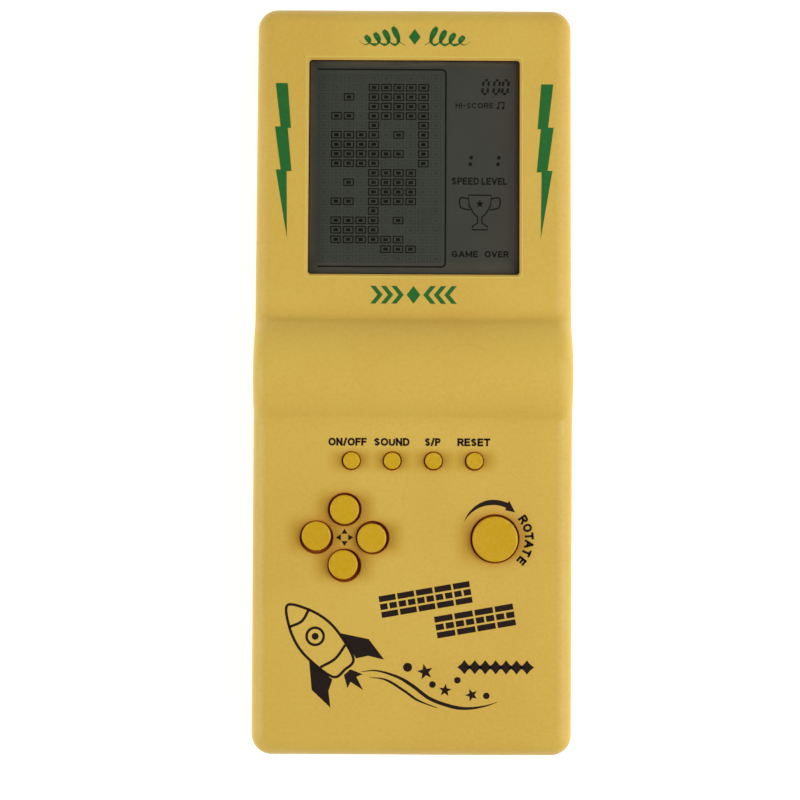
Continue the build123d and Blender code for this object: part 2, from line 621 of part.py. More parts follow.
def key_board():
    """The board under the keypad."""
    z = (KEY_BOARD_TOP - BOARD_THICKNESS, KEY_BOARD_TOP)
    board = block((-KEY_BOARD_X, KEY_BOARD_X), KEY_BOARD_Y, z)
    for place in KEY_POSTS:
        board -= rod(place, (z[0] - 1, z[1] + 1), BOARD_SHANK + SHANK_PLAY)
    return board


def ribbon_cable():
    """The flat cable from the key board over the battery bay to the main board."""
    path = Plane.YZ * FilletPolyline(*RIBBON_PATH, radius=RIBBON_BEND)
    across = Plane(origin=(0, *RIBBON_PATH[0]), x_dir=(1, 0, 0), z_dir=(0, 1, 0))
    return sweep(across * Rectangle(RIBBON_WIDTH, RIBBON_THICKNESS), path=path)


# ---- Keypad -------------------------------------------------------------------------------------
def key_cap(name):
    """A key: a round cap with a softened edge and a shallow dish, on a flange that stops under the case."""
    place, hole, cap, top, shift = KEYS[name]
    flange = rod((0, 0), (FLANGE_BOTTOM, FLANGE_TOP), hole + 2 * FLANGE_MARGIN)
    stem = rod((0, 0), (FLANGE_BOTTOM, top), cap)
    stem = fillet(stem.edges().group_by(Axis.Z)[-1], CAP_EDGE_RADIUS)
    dish = cap - 2 * DISH_MARGIN
    depth = DISH_DEPTH * dish
    radius = (dish**2 / 4 + depth**2) / (2 * depth)
    stem -= Pos(0, 0, top + radius - depth) * Sphere(radius)
    return Pos(place[0] + shift[0], place[1] + shift[1], 0) * (flange + stem)


def dome_sizes(name):
    """Outer diameters of a key's rubber dome, at its base and at its top."""
    hole = KEYS[name][1]
    return hole + DOME_SPREAD, hole * DOME_NARROWING + DOME_WALL


def rubber_keypad():
    """The one-piece rubber mat, with a hollow dome under every key."""
    z = (KEY_BOARD_TOP, KEY_BOARD_TOP + WEB_THICKNESS)
    mat = block((-WEB_X, WEB_X), WEB_Y, z)
    mat = fillet(mat.edges().filter_by(Axis.Z), 2)
    mat -= rod(KEY_POSTS[-1], (z[0] - 1, z[1] + 1), POST_DIAMETER + 1)
    height = DOME_TOP - z[0]
    for name, key in KEYS.items():
        x, y = key[0]
        base, top = dome_sizes(name)
        mat += Pos(x, y, z[0] + height / 2) * Cone(base / 2, top / 2, height)
    for name, key in KEYS.items():
        x, y = key[0]
        base, top = dome_sizes(name)
        hollow = PILL_BOTTOM + PILL_THICKNESS - z[0]
        inside = Cone(base / 2 - DOME_WALL, top / 2 - DOME_WALL / 2, hollow)
        mat -= Pos(x, y, z[0] + hollow / 2) * inside
    return mat


def carbon_pills():
    """The conducting pills under the domes, one for each key."""
    z = (PILL_BOTTOM, PILL_BOTTOM + PILL_THICKNESS)
    return [rod(key[0], z, dome_sizes(name)[1] - 2 * DOME_WALL) for name, key in KEYS.items()]


# ---- Batteries and contacts ---------------------------------------------------------------------
def cell(direction, y):
    """An AA cell lying across the case, its positive end pointing along direction, +1 or -1."""
    can_length = CELL_LENGTH - CELL_NUB
    can = Cylinder(CELL_DIAMETER / 2, can_length)
    can = fillet(can.edges(), CELL_ROUNDING)
    nub = Pos(0, 0, can_length / 2 + CELL_NUB / 2) * Cylinder(CELL_NUB_DIAMETER / 2, CELL_NUB)
    tip_x = BAY_HALF_X - CONTACT - CONTACT_PLAY
    middle_x = direction * (tip_x - CELL_NUB - can_length / 2)
    return Pos(middle_x, y, CELL_Z) * Rot(0, 90 * direction, 0) * (can + nub)


def contact_plate(side, y, width):
    """A sheet-metal contact against one end wall of the bay; side is +1 or -1."""
    x = sorted((side * BAY_HALF_X, side * (BAY_HALF_X - CONTACT)))
    z = (CELL_Z - CONTACT_HALF_HEIGHT, CELL_Z + CONTACT_HALF_HEIGHT)
    return block(x, (y - width / 2, y + width / 2), z)


def terminal(y):
    """A contact at the left end wall with a solder tag through the wall."""
    tag_x = (-BAY_HALF_X - BAY_END_WALL - TAG_REACH, -BAY_HALF_X + CONTACT)
    tag = block(tag_x, (y - TAG_WIDTH / 2, y + TAG_WIDTH / 2), TAG_Z)
    return contact_plate(-1, y, TERMINAL_WIDTH) + tag


def contact_spring(side, y):
    """A coil spring between a contact and the flat end of a cell."""
    room = 2 * (BAY_HALF_X - CONTACT - CONTACT_PLAY) - CELL_LENGTH
    height = room - SPRING_WIRE - 2 * CONTACT_PLAY
    path = Helix(pitch=height / SPRING_TURNS, height=height, radius=SPRING_RADIUS)
    section = Plane(origin=path @ 0, z_dir=path % 0) * Circle(SPRING_WIRE / 2)
    coil = sweep(section, path=path, is_frenet=True)
    start_x = side * (BAY_HALF_X - CONTACT - SPRING_WIRE / 2 - CONTACT_PLAY)
    return Pos(start_x, y, CELL_Z) * Rot(0, -90 * side, 0) * coil


# ---- Buzzer and wires ---------------------------------------------------------------------------
def wire(name, points):
    """A wire along straight runs joined by the largest arcs that its runs allow."""
    spots = [Vector(*point) for point in points]
    radii = []
    for before, corner, after in zip(spots, spots[1:], spots[2:]):
        turn = (corner - before).get_angle(after - corner)
        shorter = min((corner - before).length, (after - corner).length)
        radii.append(0.45 * shorter / tan(radians(turn) / 2))
    print(name, "bend radii", [round(radius, 1) for radius in radii])
    path = FilletPolyline(*points, radius=radii)
    section = Plane(origin=spots[0], z_dir=spots[1] - spots[0]) * Circle(WIRE_DIAMETER / 2)
    tube = sweep(section, path=path)
    expected = pi * (WIRE_DIAMETER / 2) ** 2 * path.length
    print(name, "length", round(path.length, 1), "volume ratio", round(tube.volume / expected, 3))
    return tube


def buzzer_plate():
    """The buzzer's brass disc, resting on the seat ring."""
    return rod((0, BUZZER_Y), (BUZZER_Z, BUZZER_Z + BUZZER_PLATE_THICKNESS), BUZZER_PLATE)


def buzzer_ceramic():
    """The piezo ceramic on the brass disc."""
    bottom = BUZZER_Z + BUZZER_PLATE_THICKNESS
    return rod((0, BUZZER_Y), (bottom, bottom + BUZZER_CERAMIC_THICKNESS), BUZZER_CERAMIC)


# ---- Assembly -----------------------------------------------------------------------------------
def all_parts():
    """Every node by name: a solid, or a list of separate solids."""
    outer, hollow = case_form(), case_form(WALL)
    parts = {
        "front_case": front_case(outer, hollow),
        "rear_case": rear_case(outer, hollow),
        "battery_door": battery_door(),
        "window_lens": window_lens(),
        "lcd_holder": lcd_holder(),
        "contact_strip": contact_strip(),
        "main_board": main_board(),
        "chip_blob": chip_blob(),
        "capacitors": capacitors(),
        "resistors": resistors(),
        "key_board": key_board(),
        "ribbon_cable": ribbon_cable(),
        "rubber_keypad": rubber_keypad(),
        "carbon_pills": carbon_pills(),
        "battery_cell_lower": cell(1, LOWER_CELL_Y),
        "battery_cell_upper": cell(-1, UPPER_CELL_Y),
        "negative_terminal": terminal(LOWER_CELL_Y),
        "positive_terminal": terminal(UPPER_CELL_Y),
        "link_contact": contact_plate(1, (LOWER_CELL_Y + UPPER_CELL_Y) / 2, LINK_WIDTH),
        "negative_spring": contact_spring(-1, LOWER_CELL_Y),
        "link_spring": contact_spring(1, UPPER_CELL_Y),
        "buzzer_plate": buzzer_plate(),
        "buzzer_ceramic": buzzer_ceramic(),
        "case_screws": case_screws(),
        "key_board_screws": key_board_screws(),
        "main_board_screws": main_board_screws(),
    }
    parts.update(lcd_layers())
    parts.update({name: key_cap(name) for name in KEYS})
    parts.update({name: wire(name, points) for name, points in WIRES.items()})
    return parts


os.makedirs("parts", exist_ok=True)
for node, shape in all_parts().items():
    solid = Compound(children=shape) if isinstance(shape, list) else shape
    export_step(solid, f"parts/{node}.step")
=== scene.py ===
"""Looks of a handheld LCD game: materials for every CAD piece, printed graphics on the case,
the LCD's picture, studio light and the camera. Lengths are in millimetres until they reach Blender.
"""
from functools import partial
from math import cos, pi, radians, sin, tau
from typing import NamedTuple

import bmesh
import bpy
from mathutils import Matrix, Vector
from mathutils.geometry import tessellate_polygon


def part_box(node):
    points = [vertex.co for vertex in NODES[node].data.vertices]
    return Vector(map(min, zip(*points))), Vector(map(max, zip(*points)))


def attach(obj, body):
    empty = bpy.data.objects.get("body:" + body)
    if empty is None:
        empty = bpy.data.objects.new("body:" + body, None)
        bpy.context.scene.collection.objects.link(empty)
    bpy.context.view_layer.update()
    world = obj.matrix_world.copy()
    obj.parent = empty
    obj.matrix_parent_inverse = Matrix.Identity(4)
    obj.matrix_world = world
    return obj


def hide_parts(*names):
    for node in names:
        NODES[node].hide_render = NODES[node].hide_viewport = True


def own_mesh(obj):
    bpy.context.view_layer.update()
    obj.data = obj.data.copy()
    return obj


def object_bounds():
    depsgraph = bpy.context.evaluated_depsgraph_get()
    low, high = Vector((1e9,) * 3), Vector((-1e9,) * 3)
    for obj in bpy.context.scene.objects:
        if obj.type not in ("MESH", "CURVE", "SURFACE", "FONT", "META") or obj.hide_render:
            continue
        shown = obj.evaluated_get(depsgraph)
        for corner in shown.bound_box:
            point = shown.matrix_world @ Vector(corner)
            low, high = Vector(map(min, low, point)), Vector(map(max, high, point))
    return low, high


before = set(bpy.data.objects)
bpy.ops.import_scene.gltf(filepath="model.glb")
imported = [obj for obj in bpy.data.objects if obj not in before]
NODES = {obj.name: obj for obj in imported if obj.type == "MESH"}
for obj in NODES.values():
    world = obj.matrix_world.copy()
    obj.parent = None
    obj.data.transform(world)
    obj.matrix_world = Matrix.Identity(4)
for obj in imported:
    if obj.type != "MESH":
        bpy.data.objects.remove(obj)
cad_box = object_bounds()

MM = 0.001
ROOT = "root"

# ---- Places taken from the frame, in millimetres ----
KEY_PROUD = 1.8  # how far the large keys stand above the keypad face
LENS_MIDDLE = 1.5  # depth of the lens's middle below the screen face
LCD_DEPTH = 2.3  # depth of the LCD's front film below the screen face
SCREEN_TILT = radians(4.0)
INK = 0.012  # thickness of a printed layer
INK_GAP = 0.006  # space under it, so that it never lies in the surface


def box_mm(node):
    """A CAD node's lowest and highest corners in millimetres."""
    low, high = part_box(node)
    return Vector(low) / MM, Vector(high) / MM


def middle_mm(node):
    """The middle of a CAD node's box in millimetres."""
    low, high = box_mm(node)
    return (low + high) / 2


KEY_FACE_Z = box_mm("rotate_button")[1].z - KEY_PROUD
ROTATE = middle_mm("rotate_button")
DPAD = sum((middle_mm(side + "_button") for side in ("up", "down", "left", "right")), Vector()) / 4
KEYS = [node for node in NODES if node.endswith("_button")]


def keypad_place():
    """From print coordinates, X and Y in millimetres, to the keypad face in metres."""
    return Matrix.Scale(MM, 4) @ Matrix.Translation((0, 0, KEY_FACE_Z))


def screen_place(height=0.0):
    """From print coordinates centred on the window to the tilted screen face in metres."""
    normal = Vector((0, sin(SCREEN_TILT), cos(SCREEN_TILT)))
    origin = middle_mm("window_lens") + normal * (LENS_MIDDLE + height)
    return Matrix.Scale(MM, 4) @ Matrix.Translation(origin) @ Matrix.Rotation(-SCREEN_TILT, 4, "X")


# ---- Materials ----
GAP_BROWN_SCREEN = (196, 94, 32)  # light that has bounced about in the gap round a key
GAP_REACH = 2.2  # how far the brown reaches into gaps
CREASE_REACH = 4.5  # how far the warm shade in a crease spreads
CONTACT_HEIGHT = 2.2  # below this the table closes the surface in, not a gap
KEY_SHADE_REACH = 3.6  # how far the warm shade to the left and right of each key spreads
PANE_GLOSS = 0.04  # how much of the light a pane reflects when it is met square on
LCD_CLEAR_HALF = 24.0  # half the width of the LCD's even grey middle
LCD_CLEAR_SHIFT = 0.6  # how far that middle sits above the middle of the film
LCD_EDGE_BAND = 2.2  # width over which the film turns brown at its edge
LCD_END_BAND = (24.2, 26.2)  # the same along the screen, from the middle
LCD_WARM_SIDE = (8, 26)  # across the side panel the film turns slowly warmer


def srgb(red, green, blue):
    """A colour given as 0 to 255 screen values, as the linear colour that shaders take."""
    def linear(value):
        share = value / 255
        return share / 12.92 if share <= 0.04045 else ((share + 0.055) / 1.055) ** 2.4
    return linear(red), linear(green), linear(blue), 1.0


class Finish:
    """A procedural material: one Principled shader, and short ways to vary its colour and surface."""

    def __init__(self, name, roughness=0.5, **sockets):
        self.material = bpy.data.materials.new(name)
        self.material.use_nodes = True
        self.tree = self.material.node_tree
        self.shader = self.tree.nodes["Principled BSDF"]
        self.output = self.tree.nodes["Material Output"]
        self.shader.inputs["Roughness"].default_value = roughness
        for socket, value in sockets.items():
            self.shader.inputs[socket.replace("_", " ")].default_value = value

    def node(self, kind, **settings):
        """A node of a kind, with its settings and its input values given by name."""
        made = self.tree.nodes.new(kind)
        for key, value in settings.items():
            if hasattr(made, key):
                setattr(made, key, value)
            else:
                made.inputs[key].default_value = value
        return made

    def link(self, source, target):
        self.tree.links.new(source, target)

    def feed(self, source, target):
        """Gives an input a plain value or another node's output."""
        if isinstance(source, bpy.types.NodeSocket):
            self.link(source, target)
        else:
            target.default_value = source

    def coordinates(self, stretch=(1, 1, 1)):
        """Places on the object in millimetres, stretched along each axis."""
        place = self.node("ShaderNodeTexCoord")
        scaled = self.node("ShaderNodeMapping", Scale=[share / MM for share in stretch])
        self.link(place.outputs["Object"], scaled.inputs["Vector"])
        return scaled.outputs["Vector"]

    def noise(self, size, detail=3.0, stretch=(1, 1, 1)):
        """Soft noise from 0 to 1 with features of a size in millimetres."""
        made = self.node("ShaderNodeTexNoise", Scale=1 / size, Detail=detail)
        self.link(self.coordinates(stretch), made.inputs["Vector"])
        return made.outputs["Fac"]

    def band(self, source, low, high, start=0.0, end=1.0):
        """Maps a value from low..high to start..end, held at both ends."""
        made = self.node("ShaderNodeMapRange", clamp=True)
        for key, value in (("From Min", low), ("From Max", high), ("To Min", start), ("To Max", end)):
            made.inputs[key].default_value = value
        self.link(source, made.inputs["Value"])
        return made.outputs["Result"]

    def mix(self, share, first, second):
        """Mixes two colours by a share; each of the three is a value or a socket."""
        made = self.node("ShaderNodeMix", data_type="RGBA")
        for index, source in ((0, share), (6, first), (7, second)):
            self.feed(source, made.inputs[index])
        return made.outputs[2]

    def math(self, operation, first, second=0.0):
        """One sum on two values or sockets."""
        made = self.node("ShaderNodeMath", operation=operation)
        for index, source in enumerate((first, second)):
            self.feed(source, made.inputs[index])
        return made.outputs[0]

    def axis(self, name):
        """One coordinate of the place on the object, in millimetres."""
        split = self.node("ShaderNodeSeparateXYZ")
        self.link(self.coordinates(), split.inputs[0])
        return split.outputs[name]

    def crevice(self, reach):
        """Near 1 in the open and lower in gaps, grooves and inner corners within a reach."""
        return self.node("ShaderNodeAmbientOcclusion", samples=6, Distance=reach * MM).outputs["AO"]

    def edges(self, radius):
        """Near 1 on sharp edges and 0 on flat or gently curved surfaces."""
        rounded = self.node("ShaderNodeBevel", samples=4, Radius=radius * MM)
        plain = self.node("ShaderNodeNewGeometry")
        dot = self.node("ShaderNodeVectorMath", operation="DOT_PRODUCT")
        self.link(rounded.outputs["Normal"], dot.inputs[0])
        self.link(plain.outputs["Normal"], dot.inputs[1])
        return self.band(dot.outputs["Value"], 0.98, 0.80)

    def colour(self, socket):
        self.link(socket, self.shader.inputs["Base Color"])

    def roughness(self, source, low, high):
        """Varies roughness between two values with a 0 to 1 source."""
        self.link(self.band(source, 0.3, 0.7, low, high), self.shader.inputs["Roughness"])

    def bump(self, source, height, strength):
        """Relief of a height in millimetres from a 0 to 1 source, on top of earlier relief."""
        made = self.node("ShaderNodeBump", Strength=strength, Distance=height * MM)
        self.link(source, made.inputs["Height"])
        normal = self.shader.inputs["Normal"]
        if normal.is_linked:
            self.link(normal.links[0].from_socket, made.inputs["Normal"])
        self.link(made.outputs["Normal"], normal)


def beside_keys(finish):
    """Near 1 on the keypad face just left and right of each key, where the key throws its shade."""
    across, along = finish.axis("X"), finish.axis("Y")
    total = finish.band(across, 0, 1, 0, 0)
    for key in KEYS:
        low, high = box_mm(key)
        middle, radius = middle_mm(key), (high.x - low.x) / 2
        far = finish.math("ABSOLUTE", finish.math("SUBTRACT", across, middle.x))
        off_row = finish.math("ABSOLUTE", finish.math("SUBTRACT", along, middle.y))
        near = finish.band(far, radius + 0.9, radius + KEY_SHADE_REACH, 1.0, 0.0)
        level = finish.band(off_row, 0.5 * radius, 1.2 * radius, 1.0, 0.0)
        total = finish.math("MAXIMUM", total, finish.math("MULTIPLY", near, level))
    return finish.math("MULTIPLY", total, finish.band(finish.axis("Z"), KEY_FACE_Z - 2, KEY_FACE_Z - 1))


def moulded_plastic(name, colour, deep, light, roughness, grain, shade=None):
    """Moulded plastic: faint clouding, satin grain, painted warm shade in creases, painted bounce light in
    the gaps round keys, and edges lightened partly by rub wear and partly by a painted highlight.
    """
    finish = Finish(name, roughness=roughness, Specular_IOR_Level=0.35)
    clouds = finish.noise(30, detail=2)
    base = finish.mix(finish.band(clouds, 0.35, 0.65, 0.0, 0.16), colour, deep)
    flecks = finish.noise(0.9, detail=2)
    base = finish.mix(finish.band(flecks, 0.35, 0.65, 0.0, 0.10), base, light)
    # Sharp edges turn lighter: partly rub wear, partly a painted highlight where an edge catches the lamps.
    rubbed_and_highlit = finish.math("MULTIPLY", finish.edges(0.45), finish.band(finish.noise(5), 0.3, 0.7, 0.5, 1.0))
    base = finish.mix(finish.math("MULTIPLY", rubbed_and_highlit, 0.55), base, light)
    if shade:
        base = finish.mix(finish.band(beside_keys(finish), 0, 1, 0.0, 0.75), base, shade)
    raised = finish.band(finish.axis("Z"), CONTACT_HEIGHT, 2 * CONTACT_HEIGHT)
    # Painted shade: creases and inner corners turn towards the deep colour, as if in shadow.
    crease = finish.band(finish.crevice(CREASE_REACH), 0.97, 0.62, 0.0, 0.60)
    base = finish.mix(finish.math("MULTIPLY", crease, raised), base, deep)
    # Painted bounce light: the walls of gaps round the keys turn warm brown-orange, standing in for light
    # scattered in the yellow plastic.
    gap = finish.band(finish.crevice(GAP_REACH), 0.52, 0.24, 0.0, 0.9)
    base = finish.mix(finish.math("MULTIPLY", gap, raised), base, srgb(*GAP_BROWN_SCREEN))
    finish.colour(base)
    finish.roughness(finish.noise(4, detail=4), roughness - 0.05, roughness + 0.06)
    finish.bump(finish.noise(0.22, detail=2), grain, strength=0.5)
    finish.bump(finish.noise(12, detail=1), 0.03, strength=0.25)
    scratches = finish.noise(0.5, detail=1, stretch=(1, 0.05, 1))
    finish.bump(finish.band(scratches, 0.68, 0.75), 0.004, strength=0.3)
    return finish.material


def case_plastic():
    """The yellow ABS of both shells and the battery door."""
    return moulded_plastic(
        "case_plastic", srgb(208, 174, 74), srgb(186, 122, 26), srgb(232, 208, 122), 0.45, grain=0.010,
        shade=srgb(194, 152, 44)
    )


def key_plastic():
    """The deeper, glossier yellow of the keys."""
    return moulded_plastic(
        "key_plastic", srgb(199, 157, 6), srgb(180, 118, 4), srgb(232, 208, 84), 0.40, grain=0.004
    )


def ink(name, colour, worn):
    """Screen-printed ink, slightly uneven and thin in places."""
    finish = Finish(name, roughness=0.55, Specular_IOR_Level=0.15)
    patches = finish.noise(0.7, detail=4)
    finish.colour(finish.mix(finish.band(patches, 0.45, 0.75, 0.0, 0.35), colour, worn))
    finish.roughness(finish.noise(0.3), 0.48, 0.66)
    finish.bump(finish.noise(0.15), 0.004, strength=0.4)
    return finish.material


def thin_pane(finish, clear, haze):
    """A see-through pane: light crosses it at any angle, and gloss grows towards grazing views."""
    finish.tree.nodes.remove(finish.shader)
    through = finish.node("ShaderNodeBsdfTransparent")
    finish.feed(clear, through.inputs["Color"])
    gloss = finish.node("ShaderNodeBsdfGlossy")
    finish.link(haze, gloss.inputs["Roughness"])
    slant = finish.node("ShaderNodeLayerWeight", Blend=0.5).outputs["Facing"]
    share = finish.math("MULTIPLY_ADD", finish.math("POWER", slant, 5.0), 1 - PANE_GLOSS)
    share.node.inputs[2].default_value = PANE_GLOSS
    both = finish.node("ShaderNodeMixShader")
    finish.link(share, both.inputs[0])
    finish.link(through.outputs[0], both.inputs[1])
    finish.link(gloss.outputs[0], both.inputs[2])
    finish.link(both.outputs[0], finish.output.inputs["Surface"])
    return finish.material


def clear_window():
    """Clear acrylic with fine scuffs."""
    finish = Finish("clear_window")
    scuffs = finish.band(finish.noise(2.5, detail=5), 0.4, 0.7, 0.03, 0.12)
    return thin_pane(finish, (0.93, 0.93, 0.91, 1), scuffs)


def lcd_film():
    """The LCD's grey-green front film, browner along the edges of the glass."""
    finish = Finish("lcd_film", roughness=0.5, Specular_IOR_Level=0.15)
    low, high = box_mm("lcd_polariser")
    sideways = finish.math("ABSOLUTE", finish.axis("X"))
    border = finish.band(sideways, LCD_CLEAR_HALF, LCD_CLEAR_HALF + LCD_EDGE_BAND)
    middle = (low.y + high.y) / 2 + LCD_CLEAR_SHIFT
    along = finish.math("ABSOLUTE", finish.math("SUBTRACT", finish.axis("Y"), middle))
    ends = finish.band(along, *LCD_END_BAND)
    weaker_below = finish.band(finish.axis("Y"), low.y + 2, low.y + 8, 0.25, 1.0)
    edge = finish.math("MULTIPLY", finish.math("MAXIMUM", border, ends), weaker_below)
    base = finish.mix(edge, srgb(79, 81, 76), srgb(120, 108, 90))
    base = finish.mix(finish.band(finish.axis("X"), *LCD_WARM_SIDE, 0.0, 0.45), base, srgb(92, 86, 76))
    flow = finish.noise(14, detail=2)
    base = finish.mix(finish.band(flow, 0.35, 0.65, 0.0, 0.30), base, srgb(74, 77, 73))
    finish.colour(base)
    finish.roughness(finish.noise(0.4), 0.44, 0.58)
    finish.bump(finish.noise(0.12), 0.003, strength=0.3)
    return finish.material


def lcd_ink(name, colour, faded):
    """A switched LCD segment: flat grey-black with a trace of unevenness."""
    finish = Finish(name, roughness=0.5, Specular_IOR_Level=0.12)
    finish.colour(finish.mix(finish.band(finish.noise(1.2), 0.3, 0.7, 0.0, 0.4), colour, faded))
    finish.roughness(finish.noise(0.5), 0.44, 0.58)
    return finish.material


def flat_glass():
    """Thin flat glass with a green tint at its edges."""
    finish = Finish("flat_glass")
    tint = finish.mix(finish.edges(0.4), (0.90, 0.94, 0.92, 1), (0.45, 0.70, 0.60, 1))
    return thin_pane(finish, tint, finish.band(finish.noise(3), 0.4, 0.7, 0.02, 0.08))


def plain_moulding(name, colour, worn, roughness=0.5):
    """Unpainted inner moulding with grain and flow marks."""
    finish = Finish(name, roughness=roughness)
    finish.colour(finish.mix(finish.band(finish.noise(6, detail=4), 0.3, 0.7, 0.0, 0.5), colour, worn))
    finish.roughness(finish.noise(1.5, detail=4), roughness - 0.08, roughness + 0.1)
    finish.bump(finish.noise(0.25), 0.012, strength=0.5)
    return finish.material


def circuit_board():
    """Brown laminate with lacquered copper tracks and solder dots."""
    finish = Finish("circuit_board", roughness=0.4)
    weave = finish.noise(0.35, detail=2, stretch=(1, 0.15, 1))
    base = finish.mix(finish.band(weave, 0.35, 0.65), srgb(122, 88, 44), srgb(146, 110, 62))
    tracks = finish.node("ShaderNodeTexBrick", offset=0.37, squash=0.6)
    for key, value in (("Scale", 0.22), ("Mortar Size", 0.06), ("Brick Width", 0.9), ("Row Height", 0.35)):
        tracks.inputs[key].default_value = value
    finish.link(finish.coordinates(), tracks.inputs["Vector"])
    base = finish.mix(tracks.outputs["Fac"], base, srgb(78, 112, 52))
    dots = finish.node("ShaderNodeTexVoronoi", Scale=0.28)
    finish.link(finish.coordinates(), dots.inputs["Vector"])
    solder = finish.band(dots.outputs["Distance"], 0.20, 0.16)
    finish.colour(finish.mix(solder, base, srgb(196, 196, 190)))
    finish.bump(finish.math("ADD", tracks.outputs["Fac"], solder), 0.05, strength=0.5)
    finish.roughness(finish.noise(0.8), 0.3, 0.5)
    return finish.material


def soft_rubber(name, colour, pale):
    """Silicone or carbon rubber with a dusty bloom."""
    finish = Finish(name, roughness=0.7, Specular_IOR_Level=0.25)
    bloom = finish.band(finish.noise(2.5, detail=5), 0.35, 0.7, 0.0, 0.5)
    finish.colour(finish.mix(bloom, colour, pale))
    finish.roughness(finish.noise(0.6), 0.6, 0.8)
    finish.bump(finish.noise(0.3, detail=3), 0.01, strength=0.4)
    return finish.material


def bare_metal(name, colour, tarnish):
    """Plated or brushed metal with fine drawing lines and patches of tarnish."""
    finish = Finish(name, roughness=0.32, Metallic=1.0)
    patches = finish.band(finish.noise(3, detail=5), 0.45, 0.75, 0.0, 0.6)
    finish.colour(finish.mix(patches, colour, tarnish))
    lines = finish.noise(0.25, stretch=(1, 1, 0.08))
    finish.roughness(lines, 0.24, 0.46)
    finish.bump(lines, 0.006, strength=0.4)
    return finish.material


def cell_jacket(name, positive):
    """A cell's printed sleeve: dark with a copper band at its positive end and bare steel ends."""
    finish = Finish(name, roughness=0.34)
    low, high = box_mm(name)
    length = high.x - low.x
    along = finish.axis("X")
    start, end = (low.x, high.x) if positive > 0 else (high.x, low.x)
    share = finish.band(along, start, end)
    band = finish.math("GREATER_THAN", share, 0.72)
    body = finish.mix(band, srgb(26, 27, 30), srgb(172, 96, 42))
    stripe = finish.math("COMPARE", share, 0.70)
    stripe.node.inputs[2].default_value = 0.4 / length
    body = finish.mix(stripe, body, srgb(214, 208, 190))
    tips = finish.math(
        "MAXIMUM", finish.math("GREATER_THAN", share, 0.965), finish.math("LESS_THAN", share, 0.012)
    )
    dull = finish.band(finish.noise(1.5, detail=4), 0.4, 0.7)
    steel = finish.mix(dull, srgb(196, 194, 188), srgb(150, 148, 142))
    scuffs = finish.band(finish.noise(0.8, detail=3, stretch=(0.1, 1, 1)), 0.62, 0.72, 0.0, 0.25)
    body = finish.mix(scuffs, body, srgb(120, 116, 108))
    finish.colour(finish.mix(tips, body, steel))
    finish.link(tips, finish.shader.inputs["Metallic"])
    finish.roughness(finish.noise(1.2, detail=3), 0.26, 0.42)
    finish.bump(finish.noise(0.6, detail=2), 0.008, strength=0.3)
    return finish.material


def wire_skin(name, colour, dull):
    """Smooth insulation with a faint drawn grain."""
    finish = Finish(name, roughness=0.4)
    finish.colour(finish.mix(finish.band(finish.noise(1.5), 0.3, 0.7, 0.0, 0.5), colour, dull))
    finish.roughness(finish.noise(0.5), 0.32, 0.5)
    finish.bump(finish.noise(0.2), 0.004, strength=0.3)
    return finish.material


def paint(mesh, material):
    """Gives a mesh one material."""
    mesh.materials.clear()
    mesh.materials.append(material)


def paint_nodes():
    """Gives every CAD node its material."""
    case, keys, board = case_plastic(), key_plastic(), circuit_board()
    glass, film = flat_glass(), lcd_film()
    carbon = soft_rubber("carbon_rubber", srgb(24, 24, 25), srgb(52, 52, 52))
    contact = bare_metal("contact_metal", srgb(206, 204, 196), srgb(150, 142, 128))
    zinc = bare_metal("screw_steel", srgb(168, 168, 170), srgb(104, 102, 98))
    red = wire_skin("red_wire", srgb(176, 24, 20), srgb(140, 18, 16))
    black = wire_skin("black_wire", srgb(22, 22, 24), srgb(48, 48, 50))
    chosen = {
        "front_case": case, "rear_case": case, "battery_door": case,
        "window_lens": clear_window(),
        "lcd_polariser": film, "lcd_reflector": film, "lcd_front_glass": glass, "lcd_rear_glass": glass,
        "lcd_holder": plain_moulding("inner_plastic", srgb(40, 40, 43), srgb(62, 62, 64)),
        "contact_strip": carbon, "carbon_pills": carbon,
        "rubber_keypad": soft_rubber("grey_rubber", srgb(150, 150, 146), srgb(184, 184, 178)),
        "main_board": board, "key_board": board,
        "chip_blob": plain_moulding("epoxy", srgb(12, 12, 13), srgb(30, 30, 31), roughness=0.25),
        "capacitors": plain_moulding("capacitor_sleeve", srgb(20, 26, 70), srgb(34, 42, 92), roughness=0.3),
        "resistors": plain_moulding("resistor_body", srgb(196, 160, 112), srgb(168, 128, 84), roughness=0.4),
        "ribbon_cable": plain_moulding("flat_cable", srgb(176, 176, 170), srgb(196, 194, 186)),
        "battery_cell_lower": cell_jacket("battery_cell_lower", 1),
        "battery_cell_upper": cell_jacket("battery_cell_upper", -1),
        "buzzer_plate": bare_metal("buzzer_brass", srgb(206, 170, 92), srgb(150, 112, 56)),
        "buzzer_ceramic": plain_moulding("buzzer_silver", srgb(206, 206, 202), srgb(176, 174, 168)),
    }
    shared = (
        (contact, ("negative_terminal", "positive_terminal", "link_contact")),
        (contact, ("negative_spring", "link_spring")),
        (zinc, ("case_screws", "key_board_screws", "main_board_screws")),
        (red, ("buzzer_wire_red", "battery_wire_red")),
        (black, ("buzzer_wire_black", "battery_wire_black")),
    )
    for material, names in shared:
        chosen.update(dict.fromkeys(names, material))
    for name, node in NODES.items():
        paint(node.data, chosen.get(name, keys))


# ---- Flat printed shapes ----
class Strip(NamedTuple):
    """A line with a width: the points along its two sides, and whether it closes on itself."""
    left: list
    right: list
    closed: bool = False


def add_object(name, data):
    """Puts a mesh, a light or a camera into the scene."""
    made = bpy.data.objects.new(name, data)
    bpy.context.scene.collection.objects.link(made)
    return made


def case_piece(name, mesh, material):
    """Adds a mesh as a piece that stays with the case."""
    mesh.name = name
    paint(mesh, material)
    piece = add_object(name, mesh)
    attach(piece, ROOT)
    return piece


